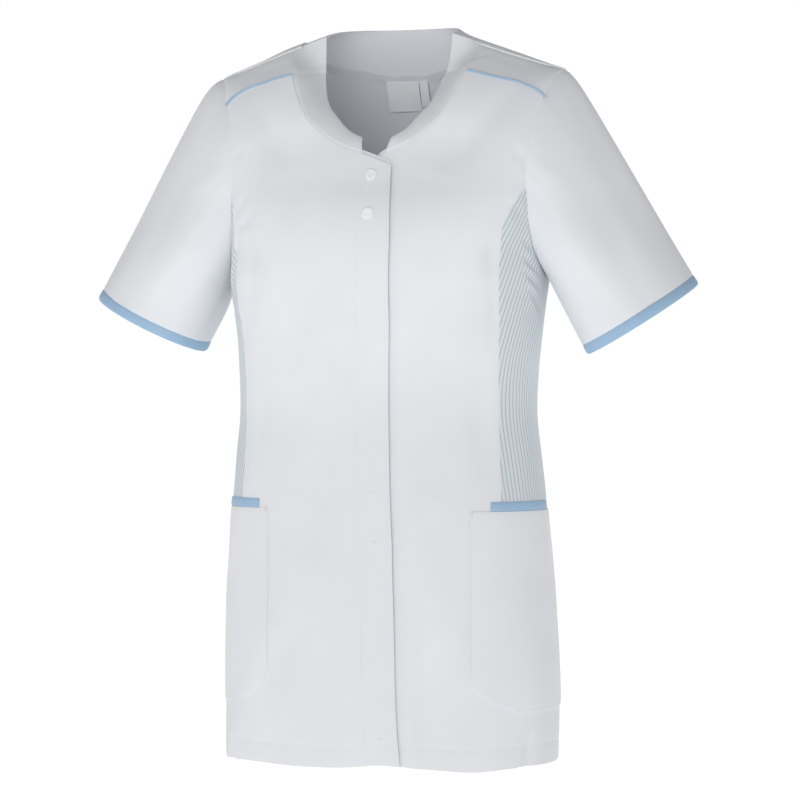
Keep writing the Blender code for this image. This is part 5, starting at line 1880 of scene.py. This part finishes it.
@dataclass
class Stitching:
    """Rows of stitches, laid by one node tree along lines on the cloth."""

    pitch: float = 0.0031
    length: float = 0.0024
    width: float = 0.00042
    tree: bpy.types.NodeTree | None = None

    def build_tree(self) -> bpy.types.NodeTree:
        """Make the node tree: lines are resampled, and a stitch is set on each point.

        Returns:
            The tree, with inputs for pitch, length, width and thread.
        """
        tree = bpy.data.node_groups.new("row of stitches", "GeometryNodeTree")
        face = tree.interface
        face.new_socket("Geometry", in_out="INPUT", socket_type="NodeSocketGeometry")
        for name in ("Pitch", "Length", "Width"):
            face.new_socket(name, in_out="INPUT", socket_type="NodeSocketFloat")
        face.new_socket("Thread", in_out="INPUT", socket_type="NodeSocketMaterial")
        face.new_socket("Geometry", in_out="OUTPUT", socket_type="NodeSocketGeometry")
        kinds = {
            "in": "NodeGroupInput", "curve": "GeometryNodeMeshToCurve", "even": "GeometryNodeResampleCurve",
            "tangent": "GeometryNodeInputTangent", "turn": "FunctionNodeAlignRotationToVector",
            "ball": "GeometryNodeMeshUVSphere", "size": "ShaderNodeCombineXYZ",
            "shape": "GeometryNodeTransform",
            "set": "GeometryNodeInstanceOnPoints", "real": "GeometryNodeRealizeInstances",
            "dress": "GeometryNodeSetMaterial", "out": "NodeGroupOutput",
        }
        node = {key: tree.nodes.new(kind) for key, kind in kinds.items()}
        node["even"].mode = "LENGTH"
        node["turn"].axis = "X"
        node["ball"].inputs["Segments"].default_value = 6
        node["ball"].inputs["Rings"].default_value = 4
        node["ball"].inputs["Radius"].default_value = 0.5
        links = (
            ("in", "Geometry", "curve", "Mesh"), ("curve", "Curve", "even", "Curve"),
            ("in", "Pitch", "even", "Length"), ("even", "Curve", "set", "Points"),
            ("tangent", "Tangent", "turn", "Vector"), ("turn", "Rotation", "set", "Rotation"),
            ("in", "Length", "size", "X"), ("in", "Width", "size", "Y"), ("in", "Width", "size", "Z"),
            ("size", "Vector", "shape", "Scale"), ("ball", "Mesh", "shape", "Geometry"),
            ("shape", "Geometry", "set", "Instance"), ("set", "Instances", "real", "Geometry"),
            ("real", "Geometry", "dress", "Geometry"), ("in", "Thread", "dress", "Material"),
            ("dress", "Geometry", "out", "Geometry"),
        )
        for source, output, target, entry in links:
            tree.links.new(node[source].outputs[output], node[target].inputs[entry])
        return tree

    def sew(self, name: str, lines: list[Array], pitch: float | None = None,
            length: float | None = None, width: float | None = None) -> None:
        """Lay stitches along lines and keep them as one plain mesh.

        Args:
            name: The piece's name.
            lines: The lines, each an array of points.
            pitch: The distance between two stitches, if not the usual one.
            length: A stitch's length, if not the usual one.
            width: A stitch's width, if not the usual one.
        """
        if self.tree is None:
            self.tree = self.build_tree()
        vertices, edges = [], []
        for line in lines:
            first = len(vertices)
            vertices += line.tolist()
            edges += [(first + step, first + step + 1) for step in range(len(line) - 1)]
        guide = bpy.data.meshes.new(name + " lines")
        guide.from_pydata(vertices, edges, [])
        obj = bpy.data.objects.new(name + " lines", guide)
        modifier = obj.modifiers.new("stitches", "NODES")
        modifier.node_group = self.tree
        values = {
            "Pitch": pitch or self.pitch, "Length": length or self.length, "Width": width or self.width,
            "Thread": Finish.THREAD.material(),
        }
        for item in self.tree.interface.items_tree:
            if item.item_type == "SOCKET" and item.in_out == "INPUT" and item.name in values:
                modifier[item.identifier] = values[item.name]
        bpy.context.scene.collection.objects.link(obj)
        evaluated = obj.evaluated_get(bpy.context.evaluated_depsgraph_get())
        mesh = bpy.data.meshes.new_from_object(evaluated)
        bpy.data.objects.remove(obj)
        mesh.name = name
        mesh.shade_smooth()
        dress(new_object(name, mesh), ())
        LOG.info("%s: %d faces", name, len(mesh.polygons))


@dataclass
class Studio:
    """A pale floor, soft light and the camera at the photograph's angle."""

    azimuth: float = 13.5
    distance: float = 3.0
    eye_height: float = -0.367
    field: float = 0.84
    shift: float = 6.5 / 800
    floor_height: float = -0.80
    floor_radius: float = 60.0
    floor_glow: float = 0.93
    floor_colour: tuple = (0.22, 0.22, 0.22, 1.0)
    room_colour: tuple = (0.975, 0.985, 1.0, 1.0)
    aim: tuple = (0.0, 0.0, -0.35)
    # The room's light, even up to one slope and dim from the other on.
    zenith_light: float = 0.15
    horizon_light: float = 1.03
    even_up_to: float = 0.16
    dim_from: float = 0.62
    # Columns: name, place, size, power.
    lights: tuple = (
        ("key", (-0.35, -2.75, 0.50), 1.8, 15.5),
        ("back", (0.5, 2.9, -0.1), 1.8, 10.0),
    )

    def build_camera(self) -> None:
        """Set the camera at the photograph's angle, level, with the garment's place in the frame."""
        angle = math.radians(self.azimuth)
        camera = bpy.data.cameras.new("camera")
        camera.lens = camera.sensor_width * self.distance / self.field
        camera.shift_x = self.shift
        stand = new_object("camera", camera)
        stand.location = (self.distance * math.sin(angle), -self.distance * math.cos(angle), self.eye_height)
        stand.rotation_euler = (math.pi / 2, 0.0, angle)
        bpy.context.scene.camera = stand

    def build_world(self) -> None:
        """Light the room evenly from the sides, and dimly from above."""
        nodes = Nodes(bpy.data.worlds.new("pale room"), "Background")
        place = nodes.add("TexCoord", {}).outputs["Generated"]
        height = nodes.add("SeparateXYZ", {"Vector": place}).outputs["Z"]
        sky = nodes.add("MapRange", {
            "Value": height, "From Min": self.even_up_to, "From Max": self.dim_from,
            "To Min": self.horizon_light, "To Max": self.zenith_light,
        })
        nodes.feed(nodes.shader, {"Color": self.room_colour, "Strength": sky.outputs["Result"]})
        bpy.context.scene.world = nodes.owner

    def build_floor(self) -> None:
        """Lay a pale floor that glows as bright as the room, so that no edge shows."""
        mesh = bpy.data.meshes.new("floor")
        work = bmesh.new()
        bmesh.ops.create_circle(work, cap_ends=True, segments=64, radius=self.floor_radius)
        bmesh.ops.translate(work, verts=work.verts, vec=(0.0, 0.0, self.floor_height))
        work.to_mesh(mesh)
        work.free()
        nodes = Nodes(bpy.data.materials.new("pale floor"))
        nodes.feed(nodes.shader, {
            "Base Color": self.floor_colour, "Roughness": 0.9, "Emission Color": (1.0, 1.0, 1.0, 1.0),
            "Emission Strength": self.floor_glow,
        })
        mesh.materials.append(nodes.owner)
        new_object("floor", mesh)

    def build_lights(self) -> None:
        """Hang the lamps and turn them to the garment's middle."""
        for name, place, size, power in self.lights:
            lamp = bpy.data.lights.new(name, "AREA")
            lamp.shape = "DISK"
            lamp.size = size
            lamp.energy = power
            stand = new_object(name, lamp)
            stand.location = place
            stand.rotation_mode = "QUATERNION"
            stand.rotation_quaternion = (Vector(self.aim) - Vector(place)).to_track_quat("-Z", "Y")

    def build(self) -> None:
        """Build the camera, the world, the floor and the lights."""
        bpy.context.scene.view_settings.view_transform = "Standard"
        self.build_camera()
        self.build_world()
        self.build_floor()
        self.build_lights()


def build_allowances(body: Body, neck: Neck, sleeves: list[Sleeve]) -> None:
    """Build the seam allowances that lie inside under the seams, as one piece.

    Args:
        body: The body's panels.
        neck: The yokes and the collar.
        sleeves: Both sleeves.
    """
    strips = [body.pieces["back"].allowance(edge) for edge in ("first", "last", "upper")]
    for side in Side:
        front = body.pieces["front_" + side.word]
        strips += [front.allowance("last"), front.allowance("upper", sink=0.0008)]
        strips.append(body.pieces["side_panel_" + side.word].allowance("upper", sink=0.0012))
        strips.append(neck.pieces["collar_front_" + side.word].allowance("first", 0.004))
    strips += [sleeve.pieces["sleeve_" + sleeve.side.word].allowance("lower", 0.004) for sleeve in sleeves]
    obj = object_of_shells("seam_allowances", [strip.shell() for strip in strips], Finish.WHITE)
    dress(obj, ())
    LOG.info("seam_allowances: %d faces", len(obj.data.polygons))


def sew_all(stitching: Stitching, body: Body, pockets: list[Pocket]) -> None:
    """Lay the visible rows of stitches.

    Args:
        stitching: The maker of the rows.
        body: The body's panels.
        pockets: Both pockets.
    """
    panels = body.pieces
    stitching.sew("stitches_hem", [piece.line_inside("lower", body.hem_turn) for piece in panels.values()])
    edge = panels["front_right"].line_inside("first", body.placket_zone)
    stitching.sew("stitches_placket", [edge[: int(len(edge) * 0.96)]])
    shoulder = panels["back"].line_inside("upper", body.shoulder_inset)
    outside = np.abs(shoulder[:, 0]) > body.inner_x + 0.001
    sides = [shoulder[outside & (shoulder[:, 0] * side.value > 0)] for side in Side]
    stitching.sew("stitches_shoulders", sides)
    tacks = []
    for across, height in body.fly_tacks:
        reach = np.linspace(across - 0.003, across + 0.003, 5)
        tacks.append(body.skin.place_across(reach, np.full(5, height), 0.0001))
    for pocket in pockets:
        drop = np.linspace(pocket.top - 0.0015, pocket.top - 0.0065, 5)
        tacks.append(body.skin.place_across(np.full(5, (pocket.front_x + 0.002) * pocket.side.value), drop,
                                            pocket.gap + pocket.cloth))
    stitching.sew("bar_tacks", tacks, pitch=0.0005, length=0.0004, width=0.0014)
    for pocket in pockets:
        piece = pocket.pieces["pocket_" + pocket.side.word]
        lines = [piece.line_inside(edge, pocket.inset) for edge in ("lower", "first", "last")]
        stitching.sew("stitches_pocket_" + pocket.side.word, lines)


def main() -> None:
    """Build every piece, the stitches and the studio, in that order."""
    logging.basicConfig(level=logging.INFO, format="%(message)s")
    skin = Skin()
    body = Body(skin)
    body.build()
    neck = Neck(body)
    neck.build()
    yokes = {side: neck.pieces["yoke_" + side.word] for side in Side}
    sleeves = [
        Sleeve(body, yokes[Side.LEFT], Side.LEFT, outer=(0.3200, -0.2490), inner=(0.2065, -0.3180),
               half_depth=0.0620, cap_rise=0.0060, front_drop=0.0120),
        Sleeve(body, yokes[Side.RIGHT], Side.RIGHT, outer=(0.3240, -0.2560), inner=(0.2090, -0.3150),
               half_depth=0.0610, cap_rise=0.0130, front_drop=0.0020),
    ]
    for sleeve in sleeves:
        sleeve.build()
    build_allowances(body, neck, sleeves)
    pockets = [
        Pocket(skin, Side.LEFT, top=-0.4805, foot=-0.684, band_front_x=0.1255),
        Pocket(skin, Side.RIGHT, top=-0.4780, foot=-0.679, band_front_x=0.1175),
    ]
    for pocket in pockets:
        pocket.build()
    Snaps(skin).build()
    sew_all(Stitching(), body, pockets)
    Studio().build()


if __name__ == "__main__":
    main()
